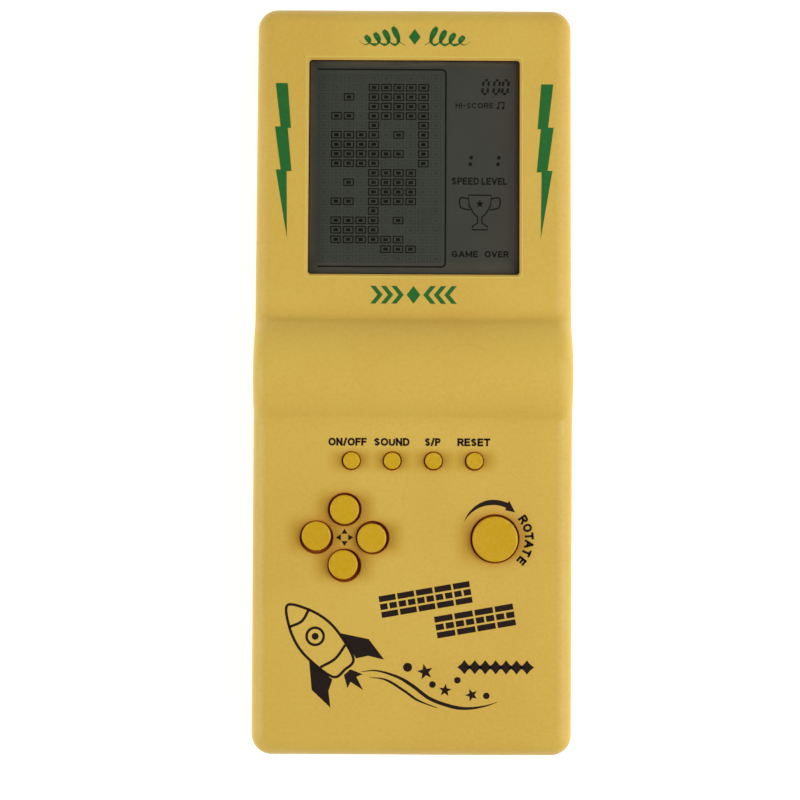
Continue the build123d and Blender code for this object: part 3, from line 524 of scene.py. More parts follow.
def two_layers(form, points):
    """The same points as vertices on the underside and on the top of the ink."""
    return [[form.verts.new((x, y, height)) for x, y in points] for height in (INK_GAP, INK_GAP + INK)]


def add_walls(form, under, over):
    """The thin side walls between two closed rows of vertices."""
    for i in range(len(under)):
        j = (i + 1) % len(under)
        form.faces.new((under[i], under[j], over[j], over[i]))


def add_slab(form, loops):
    """One filled outline, less the outlines inside it."""
    under, over = two_layers(form, [point for loop in loops for point in loop])
    flat = [[Vector((x, y, 0)) for x, y in loop] for loop in loops]
    for corners in tessellate_polygon(flat):
        form.faces.new([over[corner] for corner in corners])
        form.faces.new([under[corner] for corner in reversed(corners)])
    first = 0
    for loop in loops:
        last = first + len(loop)
        add_walls(form, under[first:last], over[first:last])
        first = last


def add_strip(form, strip):
    """One line of a width; it may cross itself."""
    left, right = two_layers(form, strip.left), two_layers(form, strip.right)
    count = len(strip.left)
    for layer in (0, 1):
        for i in range(count if strip.closed else count - 1):
            j = (i + 1) % count
            form.faces.new((left[layer][i], left[layer][j], right[layer][j], right[layer][i]))
    if strip.closed:
        add_walls(form, *left)
        add_walls(form, *right)
    else:
        add_walls(form, left[0] + right[0][::-1], left[1] + right[1][::-1])


def flat_shapes(name, shapes, place, material):
    """A thin printed piece made of shapes: each is a Strip, or an outline with its holes after it.

    The shapes are in print coordinates, which the place turns into metres.
    """
    form = bmesh.new()
    for shape in shapes:
        if isinstance(shape, Strip):
            add_strip(form, shape)
        else:
            add_slab(form, shape)
    bmesh.ops.recalc_face_normals(form, faces=form.faces)
    mesh = bpy.data.meshes.new(name)
    form.to_mesh(mesh)
    form.free()
    mesh.transform(place)
    case_piece(name, mesh, material)


def ring(centre, radius, steps=40):
    """Points round a circle."""
    angles = [tau * i / steps for i in range(steps)]
    return [(centre[0] + radius * cos(angle), centre[1] + radius * sin(angle)) for angle in angles]


def star(centre, radius, turn=0.0, points=5, waist=0.42):
    """Points of a star, its first point turned from straight up."""
    loop = []
    for i in range(2 * points):
        reach = radius if i % 2 == 0 else radius * waist
        angle = turn + pi / 2 + i * pi / points
        loop.append((centre[0] + reach * cos(angle), centre[1] + reach * sin(angle)))
    return loop


CURVE_STEPS = 10  # points that a curve gets for each point it is drawn through


def smooth_line(points, closed=False):
    """A smooth line through a few points, as more points."""
    spots = [Vector(point) for point in points]
    if closed:
        spots = [spots[-1]] + spots + spots[:2]
    else:
        spots = [2 * spots[0] - spots[1]] + spots + [2 * spots[-1] - spots[-2]]
    line = []
    for a, b, c, d in zip(spots, spots[1:], spots[2:], spots[3:]):
        for i in range(CURVE_STEPS):
            t = i / CURVE_STEPS
            cubic = (2 * a - 5 * b + 4 * c - d) * t**2 + (3 * b - a - 3 * c + d) * t**3
            line.append(0.5 * (2 * b + (c - a) * t + cubic))
    return line if closed else line + [spots[-2]]


def sides(spots, half_width, closed=False):
    """A strip along a line; half_width gives half its width from the place and the way along it."""
    count = len(spots)
    left, right = [], []
    for i, spot in enumerate(spots):
        before = spots[i - 1] if i or closed else spot
        after = spots[(i + 1) % count] if i < count - 1 or closed else spot
        way = (after - before).normalized()
        out = Vector((-way.y, way.x)) * half_width(i / (count - 1), way)
        left.append(tuple(spot + out))
        right.append(tuple(spot - out))
    return Strip(left, right, closed)


def stroke(points, width, ends, smooth=True):
    """A line of a width that tapers to a share of it at each end."""
    spots = smooth_line(points) if smooth else [Vector(point) for point in points]

    def half_width(t, way):
        start = ends[0] + (1 - ends[0]) * min(1, 3 * t)
        end = ends[1] + (1 - ends[1]) * min(1, 3 * (1 - t))
        return width / 2 * min(start, end)
    return sides(spots, half_width)


def closed_stroke(points, width, smooth=True):
    """A line of an even width that closes on itself."""
    spots = smooth_line(points, closed=True) if smooth else [Vector(point) for point in points]
    return sides(spots, lambda t, way: width / 2, closed=True)


PEN_ANGLE = radians(35)
PEN_THIN = 0.32  # the thinnest line as a share of the thickest
PEN_POINT = 0.15  # how wide the line starts, as a share of its full width
PEN_TAPER = 12  # the line reaches its full width after one part in this many of its length


def pen_stroke(spots, width):
    """A line drawn with a slanted broad pen, so that its width follows its direction."""
    def half_width(t, way):
        across = abs(abs(way.x) * sin(PEN_ANGLE) - abs(way.y) * cos(PEN_ANGLE))
        taper = min(1, PEN_TAPER * t + PEN_POINT, PEN_TAPER * (1 - t) + PEN_POINT)
        return width / 2 * (PEN_THIN + (1 - PEN_THIN) * across) * taper
    return sides(spots, half_width)


def turned(loop, angle):
    """An outline turned about zero."""
    c, s = cos(angle), sin(angle)
    return [(x * c - y * s, x * s + y * c) for x, y in loop]


def moved_place(place, spot, turn=0.0, size=1.0):
    """A place with its own zero moved to a spot, turned and resized."""
    shift = Matrix.Translation((spot[0], spot[1], 0))
    return place @ shift @ Matrix.Rotation(turn, 4, "Z") @ Matrix.Diagonal((size, size, 1, 1))


def oblong(x, y, width, height):
    """The corners of a rectangle about a centre."""
    w, h = width / 2, height / 2
    return [(x - w, y - h), (x + w, y - h), (x + w, y + h), (x - w, y + h)]


# ---- Plain block lettering ----
STEM = [(0, 0), (0, 1)]
TOP, MIDDLE, BOTTOM = [(0, 1), (1, 1)], [(0, 0.52), (0.9, 0.52)], [(0, 0), (1, 0)]
HOOK = [(0.95, 0.80), (0.55, 1), (0.14, 0.85), (0, 0.5), (0.14, 0.15), (0.55, 0), (0.95, 0.20)]
BOWL = [(0, 1), (0.60, 1), (0.96, 0.90), (0.96, 0.60), (0.60, 0.48), (0, 0.48)]
ROUND = [(0.12, 0.86), (0.5, 1), (0.88, 0.86), (1, 0.5), (0.88, 0.14), (0.5, 0), (0.12, 0.14), (0, 0.5)]
# Each sign's width as a share of its height, then its lines in a box one wide and one high.
GLYPHS = {
    "A": (0.80, [[(0, 0), (0.5, 1)], [(0.5, 1), (1, 0)], [(0.2, 0.32), (0.8, 0.32)]]),
    "C": (0.76, [HOOK]),
    "D": (0.74, [STEM, [(0, 1), (0.45, 1), (0.88, 0.84), (1, 0.5), (0.88, 0.16), (0.45, 0), (0, 0)]]),
    "E": (0.60, [STEM, TOP, MIDDLE, BOTTOM]),
    "F": (0.56, [STEM, TOP, MIDDLE]),
    "G": (0.80, [HOOK, [(0.95, 0.20), (0.95, 0.46)], [(0.95, 0.46), (0.55, 0.46)]]),
    "H": (0.70, [STEM, [(1, 0), (1, 1)], [(0, 0.52), (1, 0.52)]]),
    "I": (0.0, [STEM]),
    "L": (0.54, [STEM, BOTTOM]),
    "M": (0.90, [STEM, [(0, 1), (0.5, 0.2)], [(0.5, 0.2), (1, 1)], [(1, 0), (1, 1)]]),
    "N": (0.70, [STEM, [(0, 1), (1, 0)], [(1, 0), (1, 1)]]),
    "O": (0.86, [ROUND + ROUND[:1]]),
    "P": (0.62, [STEM, BOWL]),
    "R": (0.68, [STEM, BOWL, [(0.55, 0.48), (1, 0)]]),
    "S": (0.66, [[(0.93, 0.80), (0.5, 1), (0.07, 0.76), (0.5, 0.52), (0.93, 0.25), (0.48, 0), (0.05, 0.2)]]),
    "T": (0.70, [TOP, [(0.5, 0), (0.5, 1)]]),
    "U": (0.70, [[(0, 1), (0, 0.35), (0.14, 0.08), (0.5, 0), (0.86, 0.08), (1, 0.35), (1, 1)]]),
    "V": (0.76, [[(0, 1), (0.5, 0)], [(0.5, 0), (1, 1)]]),
    "/": (0.34, [[(0, -0.04), (1, 1.04)]]),
    "-": (0.30, [[(0, 0.45), (1, 0.45)]]),
}
LETTER_GAP = 0.40  # between the middles of neighbouring lines, as a share of the letters' height
LETTER_WEIGHT = 0.47  # the lines' width


def letter_line(points, weight):
    """One line of a letter: a bar with square ends, a curve, or a closed curve."""
    if points[0] == points[-1]:
        return closed_stroke(points[:-1], weight)
    if len(points) > 2:
        return stroke(points, weight, ends=(1, 1))
    start, end = (Vector(point) for point in points)
    beyond = (end - start).normalized() * weight / 2
    return stroke([start - beyond, end + beyond], weight, ends=(1, 1), smooth=False)


def lettering(name, text, centre, size, place, material, turn=0.0, weight=LETTER_WEIGHT):
    """Plain capitals that fill a width and height about a centre, turned by an angle."""
    units = sum(GLYPHS[letter][0] for letter in text) + LETTER_GAP * (len(text) - 1)
    across, up = (size[0] - weight) / units, size[1] - weight
    shapes, along = [], -units / 2
    for letter in text:
        width, lines = GLYPHS[letter]
        for line in lines:
            spots = [((along + x * width) * across, (y - 0.5) * up) for x, y in line]
            shapes.append(letter_line(spots, weight))
        along += width + LETTER_GAP
    flat_shapes(name, shapes, moved_place(place, centre, turn), material)


# ---- Prints on the keypad face ----
# Each small key's label, its width, and how far its middle lies to the right of the loose cap's.
LABELS = {
    "power_button": ("ON/OFF", 9.35, -0.99),
    "sound_button": ("SOUND", 8.7, -0.15),
    "start_pause_button": ("S/P", 3.85, -0.24),
    "reset_button": ("RESET", 8.05, -0.21),
}
LABEL_RISE = 4.6  # from the row of small keys to the labels' middles
LABEL_HEIGHT = 1.92
DPAD_CAP_DRIFT = Vector((-0.11, 0.17, 0))  # the four caps sit loosely, on average this far off their holes


def key_labels(material, place):
    """Plain function words over the four small keys."""
    row = middle_mm("sound_button").y + LABEL_RISE
    for key, (text, width, shift) in LABELS.items():
        centre = (middle_mm(key).x + shift, row)
        lettering("label_" + key, text, centre, (width, LABEL_HEIGHT), place, material)


def direction_marks(material, place):
    """Four small triangles between the direction keys, each pointing at its key."""
    arrow = [(0, 2.15), (-0.75, 0.9), (0.75, 0.9)]
    arrows = [[turned(arrow, quarter * pi / 2)] for quarter in range(4)]
    flat_shapes("direction_marks", arrows, moved_place(place, DPAD - DPAD_CAP_DRIFT), material)


ARROW_START, ARROW_NECK, ARROW_TIP = radians(150), radians(69), radians(52)
ARROW_RADIUS = 8.45
ARROW_SWELL = 0.70  # how much farther out the arrow's line runs once it is under way
ARROW_DIP = 0.25  # how far it comes back in at the head
ARROW_HALF_WIDTH = 0.64
ARROW_HEAD_RADII = (10.2, 8.4, 7.65)  # outer barb, tip, inner barb
ARROW_SHIFT = (-0.25, -0.1)
ARROW_STEPS = 24
# The letters round the key: angle in degrees and width.
ROTATE_LETTERS = (
    ("R", 34.6, 1.75), ("O", 19.0, 2.0), ("T", 4.8, 1.75),
    ("A", -8.6, 2.0), ("T", -23.2, 1.75), ("E", -39.0, 1.6),
)
ROTATE_LETTER_RADIUS = 8.42
ROTATE_LETTER_HEIGHT = 2.2
ROTATE_WEIGHT = 0.56


def around(radius, angle):
    """A point at a radius and an angle."""
    return radius * cos(angle), radius * sin(angle)


def rotate_arrow(material, place):
    """The arrow that curves over the rotate key, with a pointed tail."""
    outer, inner = [], []
    for i in range(ARROW_STEPS + 1):
        t = i / ARROW_STEPS
        angle = ARROW_START + (ARROW_NECK - ARROW_START) * t
        radius = ARROW_RADIUS + ARROW_SWELL * sin(pi * min(1, 1.25 * t) / 2) - ARROW_DIP * t**3
        half = ARROW_HALF_WIDTH * min(1, 1.6 * t) ** 0.9
        outer.append(around(radius + half, angle))
        inner.append(around(radius - half, angle))
    angles = (ARROW_NECK, ARROW_TIP, ARROW_NECK)
    head = [around(radius, angle) for radius, angle in zip(ARROW_HEAD_RADII, angles)]
    shift = (ROTATE.x + ARROW_SHIFT[0], ROTATE.y + ARROW_SHIFT[1])
    flat_shapes("rotate_arrow", [[outer + head + inner[::-1]]], moved_place(place, shift), material)


def rotate_word(material, place):
    """The word beside the rotate key, bent round it."""
    for index, (letter, degrees, width) in enumerate(ROTATE_LETTERS):
        angle = radians(degrees)
        x, y = around(ROTATE_LETTER_RADIUS, angle)
        lettering(
            f"rotate_letter_{index + 1}", letter, (ROTATE.x + x, ROTATE.y + y), (width, ROTATE_LETTER_HEIGHT),
            place, material, turn=angle - pi / 2, weight=ROTATE_WEIGHT,
        )


BRICK_COURSE = 1.45
BRICK_JOINT = 0.5
BRICK_SLANT = radians(10)
DIAMOND_PITCH, DIAMOND_RADIUS, DIAMOND_WAIST, DIAMONDS = 2.55, 1.75, 0.62, 7


def brick_panel(name, columns, pitch, place, material):
    """Three courses of small bricks, in place of wording."""
    bricks = []
    width = pitch - BRICK_JOINT
    half = (width - BRICK_JOINT) / 2
    for column in range(columns):
        for row in range(3):
            x, y = column * pitch, row * (BRICK_COURSE + BRICK_JOINT)
            if row % 2:
                bricks.append([oblong(x - (half + BRICK_JOINT) / 2, y, half, BRICK_COURSE)])
                bricks.append([oblong(x + (half + BRICK_JOINT) / 2, y, half, BRICK_COURSE)])
            else:
                bricks.append([oblong(x, y, width, BRICK_COURSE)])
    flat_shapes(name, bricks, place, material)


def wording_stand_ins(material, place):
    """Slanted brick rows and a row of small diamonds where the case carries wording."""
    brick_panel("brick_row_upper", 5, 4.6, moved_place(place, (-5.4, -57.4), BRICK_SLANT), material)
    brick_panel("brick_row_lower", 4, 5.0, moved_place(place, (8.4, -62.3), BRICK_SLANT), material)
    spots = [(DIAMOND_PITCH * i, 0) for i in range(DIAMONDS)]
    diamonds = [[star(spot, DIAMOND_RADIUS, points=4, waist=DIAMOND_WAIST)] for spot in spots]
    flat_shapes("diamond_row", diamonds, moved_place(place, (12.9, -70.4)), material)


def star_trail(material, place):
    """The double swoosh with its dots and stars."""
    upper = [(-12.3, -71.6), (-8.4, -71.4), (-3.4, -72.9), (0.2, -75.0), (4.6, -78.2), (10.0, -80.1),
             (13.9, -80.5), (18.0, -79.9), (21.0, -78.9)]
    lower = [(-10.4, -73.0), (-6.3, -73.6), (-1.9, -76.2), (1.6, -78.6), (6.3, -80.4)]
    flat_shapes("swoosh_upper", [stroke(upper, 0.85, ends=(0.15, 0.1))], place, material)
    flat_shapes("swoosh_lower", [stroke(lower, 0.6, ends=(0.1, 0.25))], place, material)
    dots = [((-1.0, -70.5), 1.1), ((5.1, -74.7), 0.8), ((11.2, -73.6), 0.8), ((18.3, -77.4), 0.8)]
    flat_shapes("trail_dots", [[ring(centre, radius)] for centre, radius in dots], place, material)
    stars = [((3.3, -71.6), 2.0, 0.2), ((8.2, -76.1), 1.6, -0.1), ((14.7, -77.2), 1.6, 0.35)]
    flat_shapes("trail_stars", [[star(*one)] for one in stars], place, material)


ROCKET_PLACE = (-21.0, -66.0)
ROCKET_TURN = radians(42)
ROCKET_SIZE = 1.05
ROCKET_LINE = 0.62


def rocket(material, place):
    """A plain cartoon rocket at the head of the swoosh: outlined body, solid fins and flame."""
    line = ROCKET_LINE
    flank = [(2.6, 10.3), (4.4, 5.5), (4.6, 0.5), (3.2, -6.0)]
    body = [(0, 13.5)] + flank + [(0, -6.6)] + [(-x, y) for x, y in flank[::-1]]
    shapes = [
        closed_stroke(body, line),
        stroke([(-3.0, 9.4), (0, 8.5), (3.0, 9.4)], line, ends=(1, 1)),
        stroke([(-3.9, -2.4), (0, -3.2), (3.9, -2.4)], line, ends=(1, 1)),
        [ring((0, 3.8), 2.3), ring((0, 3.8), 1.7)],
        [ring((0, 3.8), 0.8)],
    ]
    for side in (-1, 1):
        fin = [(4.9, 0.4), (8.9, -5.0), (8.4, -11.0), (6.2, -7.8), (3.7, -6.4)]
        shapes.append([[(side * x, y) for x, y in fin]])
    flame = [(1.0, -7.4), (2.4, -10.2), (0.9, -9.6), (0, -13.0)]
    shapes.append([flame + [(-x, y) for x, y in flame[-2::-1]]])
    flat_shapes("rocket", shapes, moved_place(place, ROCKET_PLACE, ROCKET_TURN, ROCKET_SIZE), material)


# ---- Prints on the screen face ----
RIM_INSET = 1.45  # from the lens's edge, under the case, in to the edge of the window opening
RIM_WIDTH = 0.25
BORDER_INSET = 1.5  # from the lens's edge in to the outside of the dark line
BORDER_HIDDEN = 0.5  # how much of the dark line lies under the bezel
BORDER_WIDTH = 0.28  # how much of it shows
LENS_FRONT_DEPTH = 0.9  # depth of the lens's front below the screen face


def lightning_bolts(material, place):
    """A tall bolt of three slanted bars on each side of the window."""
    bolt = [(-34.5, 20.8), (-31.5, 20.8), (-30.6, 9.5), (-31.4, 9.5), (-30.4, -1.3), (-31.6, -1.3),
            (-31.4, -17.9), (-34.3, -0.9), (-33.1, -0.9), (-34.6, 9.9), (-33.2, 9.9)]
    flat_shapes("bolt_left", [[bolt]], place, material)
    flat_shapes("bolt_right", [[[(-x, y) for x, y in bolt[::-1]]]], place, material)


FLOURISH_PITCH = 2.5
FLOURISH_LEAN = 0.36
FLOURISH_LOOP = 0.95  # how far each loop swings to either side
FLOURISH_STEPS = 28
FLOURISH_HEIGHTS = (4.4, 3.6, 2.9, 2.2)
FLOURISH_TAIL = ((0, 0), (0.8, 0.3), (1.4, 1.0))
FLOURISH_PEN = 1.05
ORNAMENT_ROOM = 2.4  # from the lozenge's middle to the start of each flourish
LOZENGE_Y, FLOURISH_Y = 32.6, 30.6


def flourish():
    """A row of leaning pen loops that start at zero and get lower."""
    spots = []
    for number, height in enumerate(FLOURISH_HEIGHTS):
        for i in range(FLOURISH_STEPS):
            t = i / FLOURISH_STEPS
            rise = height * (1 - cos(tau * t)) / 2
            x = FLOURISH_PITCH * (number + t) + FLOURISH_LOOP * sin(tau * t) + FLOURISH_LEAN * rise
            spots.append(Vector((x, rise)))
    end = FLOURISH_PITCH * len(FLOURISH_HEIGHTS)
    return spots + [Vector((end + x, y)) for x, y in FLOURISH_TAIL]


def top_ornament(material, place):
    """A lozenge between two mirrored pen flourishes, above the window."""
    lozenge = [(0, 2.0), (1.5, 0), (0, -2.0), (-1.5, 0)]
    flat_shapes("top_ornament_lozenge", [[lozenge]], moved_place(place, (0, LOZENGE_Y)), material)
    row = moved_place(place, (0, FLOURISH_Y))
    for name, side in (("left", -1), ("right", 1)):
        spots = [Vector((side * (spot.x + ORNAMENT_ROOM), spot.y)) for spot in flourish()]
        flat_shapes("top_ornament_" + name, [pen_stroke(spots, FLOURISH_PEN)], row, material)


CHEVRON_HALF = 2.2  # half a chevron's height
CHEVRON_WIDTH, CHEVRON_DEPTH = 1.3, 1.8
CHEVRON_START, CHEVRON_PITCH, CHEVRONS = 4.2, 2.6, 3
LOWER_ORNAMENT_Y = -32.0


def lower_ornament(material, place):
    """A bold row of chevrons about a diamond, under the window."""
    half, width, depth = CHEVRON_HALF, CHEVRON_WIDTH, CHEVRON_DEPTH
    shapes = [[[(0, half), (1.7, 0), (0, -half), (-1.7, 0)]]]
    for side in (-1, 1):
        for step in range(CHEVRONS):
            x = CHEVRON_START + CHEVRON_PITCH * step
            upper = [(x, half), (x + width, half), (x + width - depth, 0)]
            lower = [(x + width, -half), (x, -half), (x - depth, 0)]
            shapes.append([[(side * along, up) for along, up in upper + lower]])
    flat_shapes("lower_ornament", shapes, moved_place(place, (0, LOWER_ORNAMENT_Y)), material)


def window_frame(outset, inset):
    """A square frame between two distances in from the lens's edge."""
    low, high = box_mm("window_lens")
    half_u, half_v = (high.x - low.x) / 2, (high.y - low.y) / 2 / cos(SCREEN_TILT)
    return [oblong(0, 0, 2 * (half_u - edge), 2 * (half_v - edge)) for edge in (outset, inset)]


def window_border(material, place):
    """A thin dark line round the edge of the lens: partly a dark printed border, partly painted shade from
    the window's recess.
    """
    inner = BORDER_WIDTH + BORDER_HIDDEN
    shape = window_frame(BORDER_INSET, BORDER_INSET + inner)
    flat_shapes("window_border", [shape], place, material)


def window_rim(material, place):
    """A painted highlight: a pale line where the polished edge of the window opening meets the satin case,
    standing in for the light that edge catches.
    """
    flat_shapes("window_rim", [window_frame(RIM_INSET - RIM_WIDTH, RIM_INSET)], place, material)


# ---- The LCD's picture ----
CELL_PITCH = (3.10, 2.389)
CELL_ORIGIN = (-22.5, 22.66)  # the middle of the top left cell
CELL_SIZE = (2.67, 1.93)
CELL_LINE = 0.3
CELL_DOT = (0.42, 0.40)  # the solid middle's width and height, as shares of the cell's
COLUMNS, ROWS = 10, 20
# Filled patches of the playfield: first column, first row, columns, rows.
PATCHES = [
    (4, 1, 5, 3), (4, 4, 5, 1), (2, 2, 1, 1), (1, 4, 2, 1), (4, 5, 1, 1), (8, 5, 1, 5),
    (1, 6, 4, 4), (6, 6, 1, 1), (5, 8, 2, 1), (4, 10, 4, 4), (2, 11, 1, 1), (1, 13, 2, 1),
    (4, 14, 1, 1), (1, 15, 4, 3), (6, 15, 1, 1), (5, 17, 2, 1), (5, 18, 3, 1),
]


def cell_shapes(column, row):
    """A playfield cell as two shapes: a square outline, and the solid middle inside it."""
    x = CELL_ORIGIN[0] + CELL_PITCH[0] * column
    y = CELL_ORIGIN[1] - CELL_PITCH[1] * row
    width, height = CELL_SIZE
    inside = oblong(x, y, width - 2 * CELL_LINE, height - 2 * CELL_LINE)
    dot = oblong(x, y, width * CELL_DOT[0], height * CELL_DOT[1])
    return [[oblong(x, y, width, height), inside], [dot]]


def playfield(material, ghost, place):
    """The lit cells, and the faint unlit ones round them."""
    lit = {(c + i, r + j) for c, r, columns, rows in PATCHES for i in range(columns) for j in range(rows)}
    lit_shapes, ghost_shapes = [], []
    for column in range(COLUMNS):
        for row in range(ROWS):
            target = lit_shapes if (column, row) in lit else ghost_shapes
            target.extend(cell_shapes(column, row))
    flat_shapes("lcd_cells_lit", lit_shapes, place, material)
    flat_shapes("lcd_cells_unlit", ghost_shapes, place, ghost)


FRAME_RIGHT, FRAME_TOP, FRAME_BOTTOM = 7.85, 24.84, -24.72
FRAME_LEFT_TOP, FRAME_LEFT_BOTTOM = -24.2, -23.8
FRAME_BEND = 0.9
FRAME_LINE = 0.42


def playfield_frame(material, place):
    """The line round the playfield, open on the left, with two rounded corners."""
    right, top, bottom, bend = FRAME_RIGHT, FRAME_TOP, FRAME_BOTTOM, FRAME_BEND
    points = [(FRAME_LEFT_TOP, top), (right - bend, top)]
    points += [(right - bend + bend * sin(a), top - bend + bend * cos(a)) for a in (pi / 6, pi / 3)]
    points += [(right, top - bend), (right, bottom + bend)]
    points += [(right - bend + bend * cos(a), bottom + bend - bend * sin(a)) for a in (pi / 6, pi / 3)]
    points += [(right - bend, bottom), (FRAME_LEFT_BOTTOM, bottom)]
    line = stroke(points, FRAME_LINE, ends=(1, 1), smooth=False)
    flat_shapes("lcd_frame_line", [line], place, material)


DIGIT_WIDTH = 0.38  # between a digit's upright bars, as a share of its height
DIGIT_LEAN = 0.12
# Rows of digits: their left edges, their foot, height, lit bars, and bar width as a share of the height.
SCORE_DIGITS = ((16.9, 19.65, 21.85), 18.8, 3.45, "abcdef", 0.16)
SPEED_LEVEL_DIGITS = ((12.65, 19.55), 0.25, 3.3, "bc", 0.24)
NOTE_PLACE = (21.7, 15.9)
# The panel's words: piece name, word, middle, size and line width.
PANEL_WORDS = (
    ("lcd_word_score", "HI-SCORE", (15.0, 15.85), (9.45, 1.35), 0.24),
    ("lcd_word_speed", "SPEED", (12.75, -3.2), (6.8, 1.75), 0.34),
    ("lcd_word_level", "LEVEL", (20.0, -3.2), (6.4, 1.75), 0.34),
    ("lcd_word_game", "GAME", (12.7, -21.5), (6.55, 1.6), 0.34),
    ("lcd_word_over", "OVER", (20.6, -21.5), (5.95, 1.6), 0.34),
)
TROPHY_PLACE = (16.4, -11.1)
TROPHY_LINE = 0.30
TROPHY_SIZE = 1.1


def digit_bars(x, y, height, segments, thick):
    """Seven-segment bars by letter, a to g, from the digit's lower left corner; thick is their width."""
    width, bar = height * DIGIT_WIDTH, height * thick
    half = height / 2
    across = {"a": height, "g": half, "d": 0.0}
    loops = []
    for name, level in across.items():
        if name in segments:
            loops.append(oblong(width / 2, level, width - bar, bar))
    upright = {"f": (0, half), "b": (width, half), "e": (0, 0), "c": (width, 0)}
    for name, (side, low) in upright.items():
        if name in segments:
            loops.append(oblong(side, low + half / 2, bar, half - bar))
    return [[[(x + px + DIGIT_LEAN * py, y + py) for px, py in loop]] for loop in loops]


def note_shapes(x, y):
    """Two joined notes, which stand for the sound."""
    shapes = [[oblong(x, y + 0.75, 1.5, 0.32)]]
    for side in (-1, 1):
        shapes.append([oblong(x + side * 0.65, y, 0.22, 1.5)])
        shapes.append([ring((x + side * 0.65 - 0.2, y - 0.65), 0.36, steps=12)])
    return shapes


def side_panel(material, place):
    """Score digits, speed and level digits, and generic words."""
    shapes = []
    for lefts, foot, height, bars, thick in (SCORE_DIGITS, SPEED_LEVEL_DIGITS):
        for x in lefts:
            shapes += digit_bars(x, foot, height, bars, thick)
    flat_shapes("lcd_digits", shapes, place, material)
    flat_shapes("lcd_note", note_shapes(*NOTE_PLACE), place, material)
    for name, text, centre, size, weight in PANEL_WORDS:
        lettering(name, text, centre, size, place, material, weight=weight)


def trophy(material, place):
    """A plain prize cup in outline on the side panel."""
    line = TROPHY_LINE
    flank = [(2.6, 4.0), (2.4, 1.6), (1.4, -0.2), (0.5, -1.0), (0.5, -2.4), (1.7, -3.1), (1.7, -3.9)]
    shapes = [closed_stroke(flank + [(-x, y) for x, y in flank[::-1]], line, smooth=False)]
    for side in (-1, 1):
        handle = [(side * x, y) for x, y in ((2.6, 3.2), (4.4, 3.3), (4.3, 1.2), (2.2, 0.6))]
        shapes.append(stroke(handle, line, ends=(1, 1)))
    shapes.append([star((0, 2.0), 1.0)])
    spot = moved_place(place, TROPHY_PLACE, size=TROPHY_SIZE)
    flat_shapes("lcd_trophy", shapes, spot, material)


# ---- Studio ----
CAMERA_HEIGHT = 550.0
CAMERA_PLACE = (-3.2, -5.1)
CAMERA_LENS = 97.0
CAMERA_SENSOR = 36.0
CAMERA_ROLL = radians(0.3)

# Soft boxes: place in metres, width in metres, power in watts.
SOFT_BOXES = {
    "soft_box_left": ((-0.85, -0.10, 0.48), 0.6, 5.1),
    "soft_box_right": ((0.85, -0.10, 0.48), 0.6, 4.4),
    "soft_box_key": ((0.32, 0.06, 0.50), 0.3, 1.15),
}
WORLD_STRENGTH = 0.42
FLOOR_GLOW = 0.52
FLOOR_SIZE = 6  # metres
FLOOR_GAP = 0.0001  # metres under the game, so that the two never share a plane


def add_camera():
    """Straight above the game, where a product photographer would stand for a flat lay."""
    data = bpy.data.cameras.new("camera")
    data.lens = CAMERA_LENS
    data.sensor_width = CAMERA_SENSOR
    data.clip_start = 0.01
    data.clip_end = 10
    camera = add_object("camera", data)
    camera.location = (CAMERA_PLACE[0] * MM, CAMERA_PLACE[1] * MM, CAMERA_HEIGHT * MM)
    camera.rotation_euler = (0, 0, CAMERA_ROLL)
    bpy.context.scene.camera = camera


def add_soft_light(name, place, size, power):
    """A square soft box aimed at the middle of the game."""
    data = bpy.data.lights.new(name, "AREA")
    data.size = size
    data.energy = power
    light = add_object(name, data)
    light.location = place
    light.rotation_euler = (-Vector(place)).to_track_quat("-Z", "Y").to_euler()


def add_studio():
    """Floor, surrounding white and soft boxes from both sides."""
    bpy.context.scene.view_settings.view_transform = "Standard"
    world = bpy.data.worlds.new("studio_white")
    world.use_nodes = True
    tree = world.node_tree
    background = tree.nodes["Background"]
    background.inputs["Strength"].default_value = WORLD_STRENGTH
    direction = tree.nodes.new("ShaderNodeTexCoord")
    split = tree.nodes.new("ShaderNodeSeparateXYZ")
    fade = tree.nodes.new("ShaderNodeMapRange")
    for key, value in (("From Min", 0.78), ("From Max", 0.94), ("To Min", 1.0), ("To Max", 0.03)):
        fade.inputs[key].default_value = value
    tree.links.new(direction.outputs["Generated"], split.inputs[0])
    tree.links.new(split.outputs["Z"], fade.inputs["Value"])
    tree.links.new(fade.outputs["Result"], background.inputs["Color"])
    bpy.context.scene.world = world
    for name, (spot, size, power) in SOFT_BOXES.items():
        add_soft_light(name, spot, size, power)
    bpy.ops.mesh.primitive_plane_add(size=FLOOR_SIZE)
    floor = bpy.context.object
    floor.name = "floor"
    floor.location.z = cad_box[0][2] - FLOOR_GAP
    finish = Finish("floor_white", roughness=0.7)
    finish.shader.inputs["Emission Color"].default_value = (1, 1, 1, 1)
    finish.shader.inputs["Emission Strength"].default_value = FLOOR_GLOW
    finish.colour(finish.mix(finish.noise(60, detail=3), (0.93, 0.93, 0.93, 1), (0.97, 0.97, 0.97, 1)))
    floor.data.materials.append(finish.material)


# ---- The rubber keypad, cut into its web and the dome and pill under each key ----
KEY_TRAVEL = 0.8
DOME_SEARCH = 0.5  # how far beyond a key's own radius the faces of its dome may lie
SOFT_PARTS = (("rubber_keypad", "dome_", "rubber"), ("carbon_pills", "pill_", "carbon_rubber"))


def under(face, middle, reach):
    """Whether every corner of a face lies within a reach of a point, seen from above."""
    return all((corner.co.xy / MM - middle).length < reach for corner in face.verts)


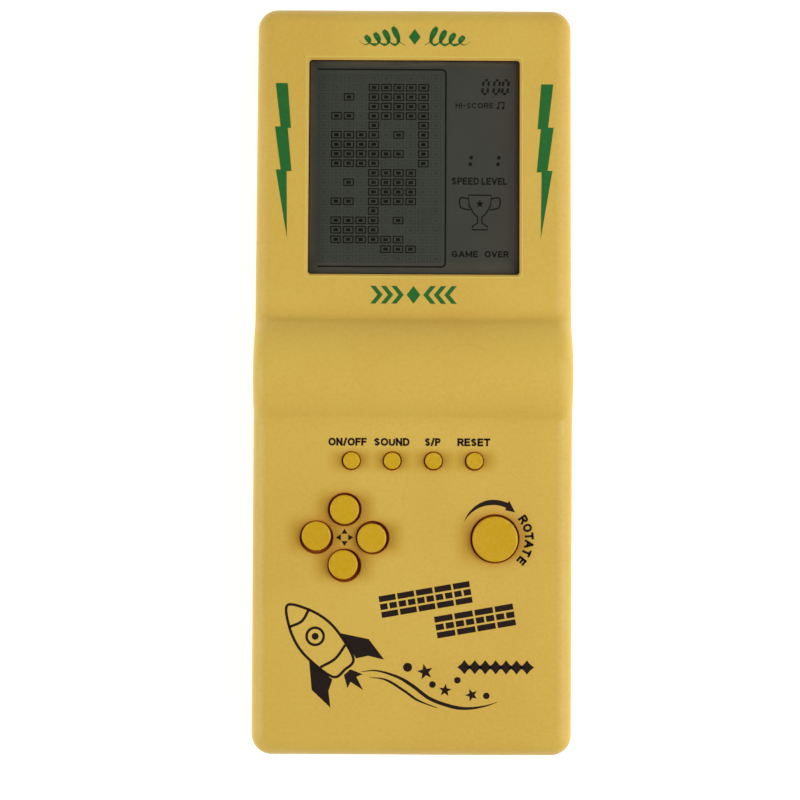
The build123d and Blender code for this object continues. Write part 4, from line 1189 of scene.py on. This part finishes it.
def node_part(node, name, picks):
    """A separate copy of the faces of a CAD node that a test picks."""
    source = NODES[node]
    mesh = source.data.copy()
    form = bmesh.new()
    form.from_mesh(mesh)
    bmesh.ops.delete(form, geom=[face for face in form.faces if not picks(face)], context="FACES")
    form.to_mesh(mesh)
    form.free()
    piece = case_piece(name, mesh, source.material_slots[0].material)
    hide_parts(node)
    return piece


def soft_keypad():
    """The keypad's web, and each dome and pill under a key as a piece of its own."""
    spots = {}
    for key in KEYS:
        low, high = box_mm(key)
        spots[key] = (middle_mm(key).xy, (high.x - low.x) / 2 + DOME_SEARCH, low.z - KEY_TRAVEL)

    def in_web(face):
        return not any(under(face, middle, reach) for middle, reach, _ in spots.values())

    node_part("rubber_keypad", "keypad_web", in_web)
    for key, (middle, reach, pressed) in spots.items():
        for node, part, slot in SOFT_PARTS:
            piece = node_part(node, part + key, partial(under, middle=middle, reach=reach))
            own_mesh(piece)


# ---- Assembly ----
def add_prints():
    """Every printed graphic and the LCD's picture."""
    dark = ink("print_dark", srgb(30, 18, 15), srgb(46, 33, 26))
    # The window border ink is partly a dark border and partly painted shade of the window recess.
    border = ink("print_border", srgb(26, 10, 10), srgb(40, 22, 18))
    # The rim ink is a painted highlight: pale ink standing in for light caught by the polished window edge.
    rim = ink("window_rim_line", srgb(212, 192, 96), srgb(206, 182, 88))
    green = ink("print_green", srgb(32, 100, 42), srgb(56, 116, 56))
    segment = lcd_ink("lcd_segment", srgb(20, 19, 16), srgb(38, 38, 34))
    faint = lcd_ink("lcd_faint", srgb(71, 75, 69), srgb(75, 78, 72))
    keypad, screen = keypad_place(), screen_place()
    key_labels(dark, keypad)
    direction_marks(dark, keypad)
    rotate_arrow(dark, keypad)
    rotate_word(dark, keypad)
    wording_stand_ins(dark, keypad)
    star_trail(dark, keypad)
    rocket(dark, keypad)
    lightning_bolts(green, screen)
    top_ornament(green, screen)
    lower_ornament(green, screen)
    window_border(border, screen_place(-LENS_FRONT_DEPTH))
    window_rim(rim, screen)
    lcd = screen_place(-LCD_DEPTH)
    playfield(segment, faint, lcd)
    playfield_frame(segment, lcd)
    side_panel(segment, lcd)
    trophy(segment, lcd)


paint_nodes()
soft_keypad()
add_prints()
add_camera()
add_studio()
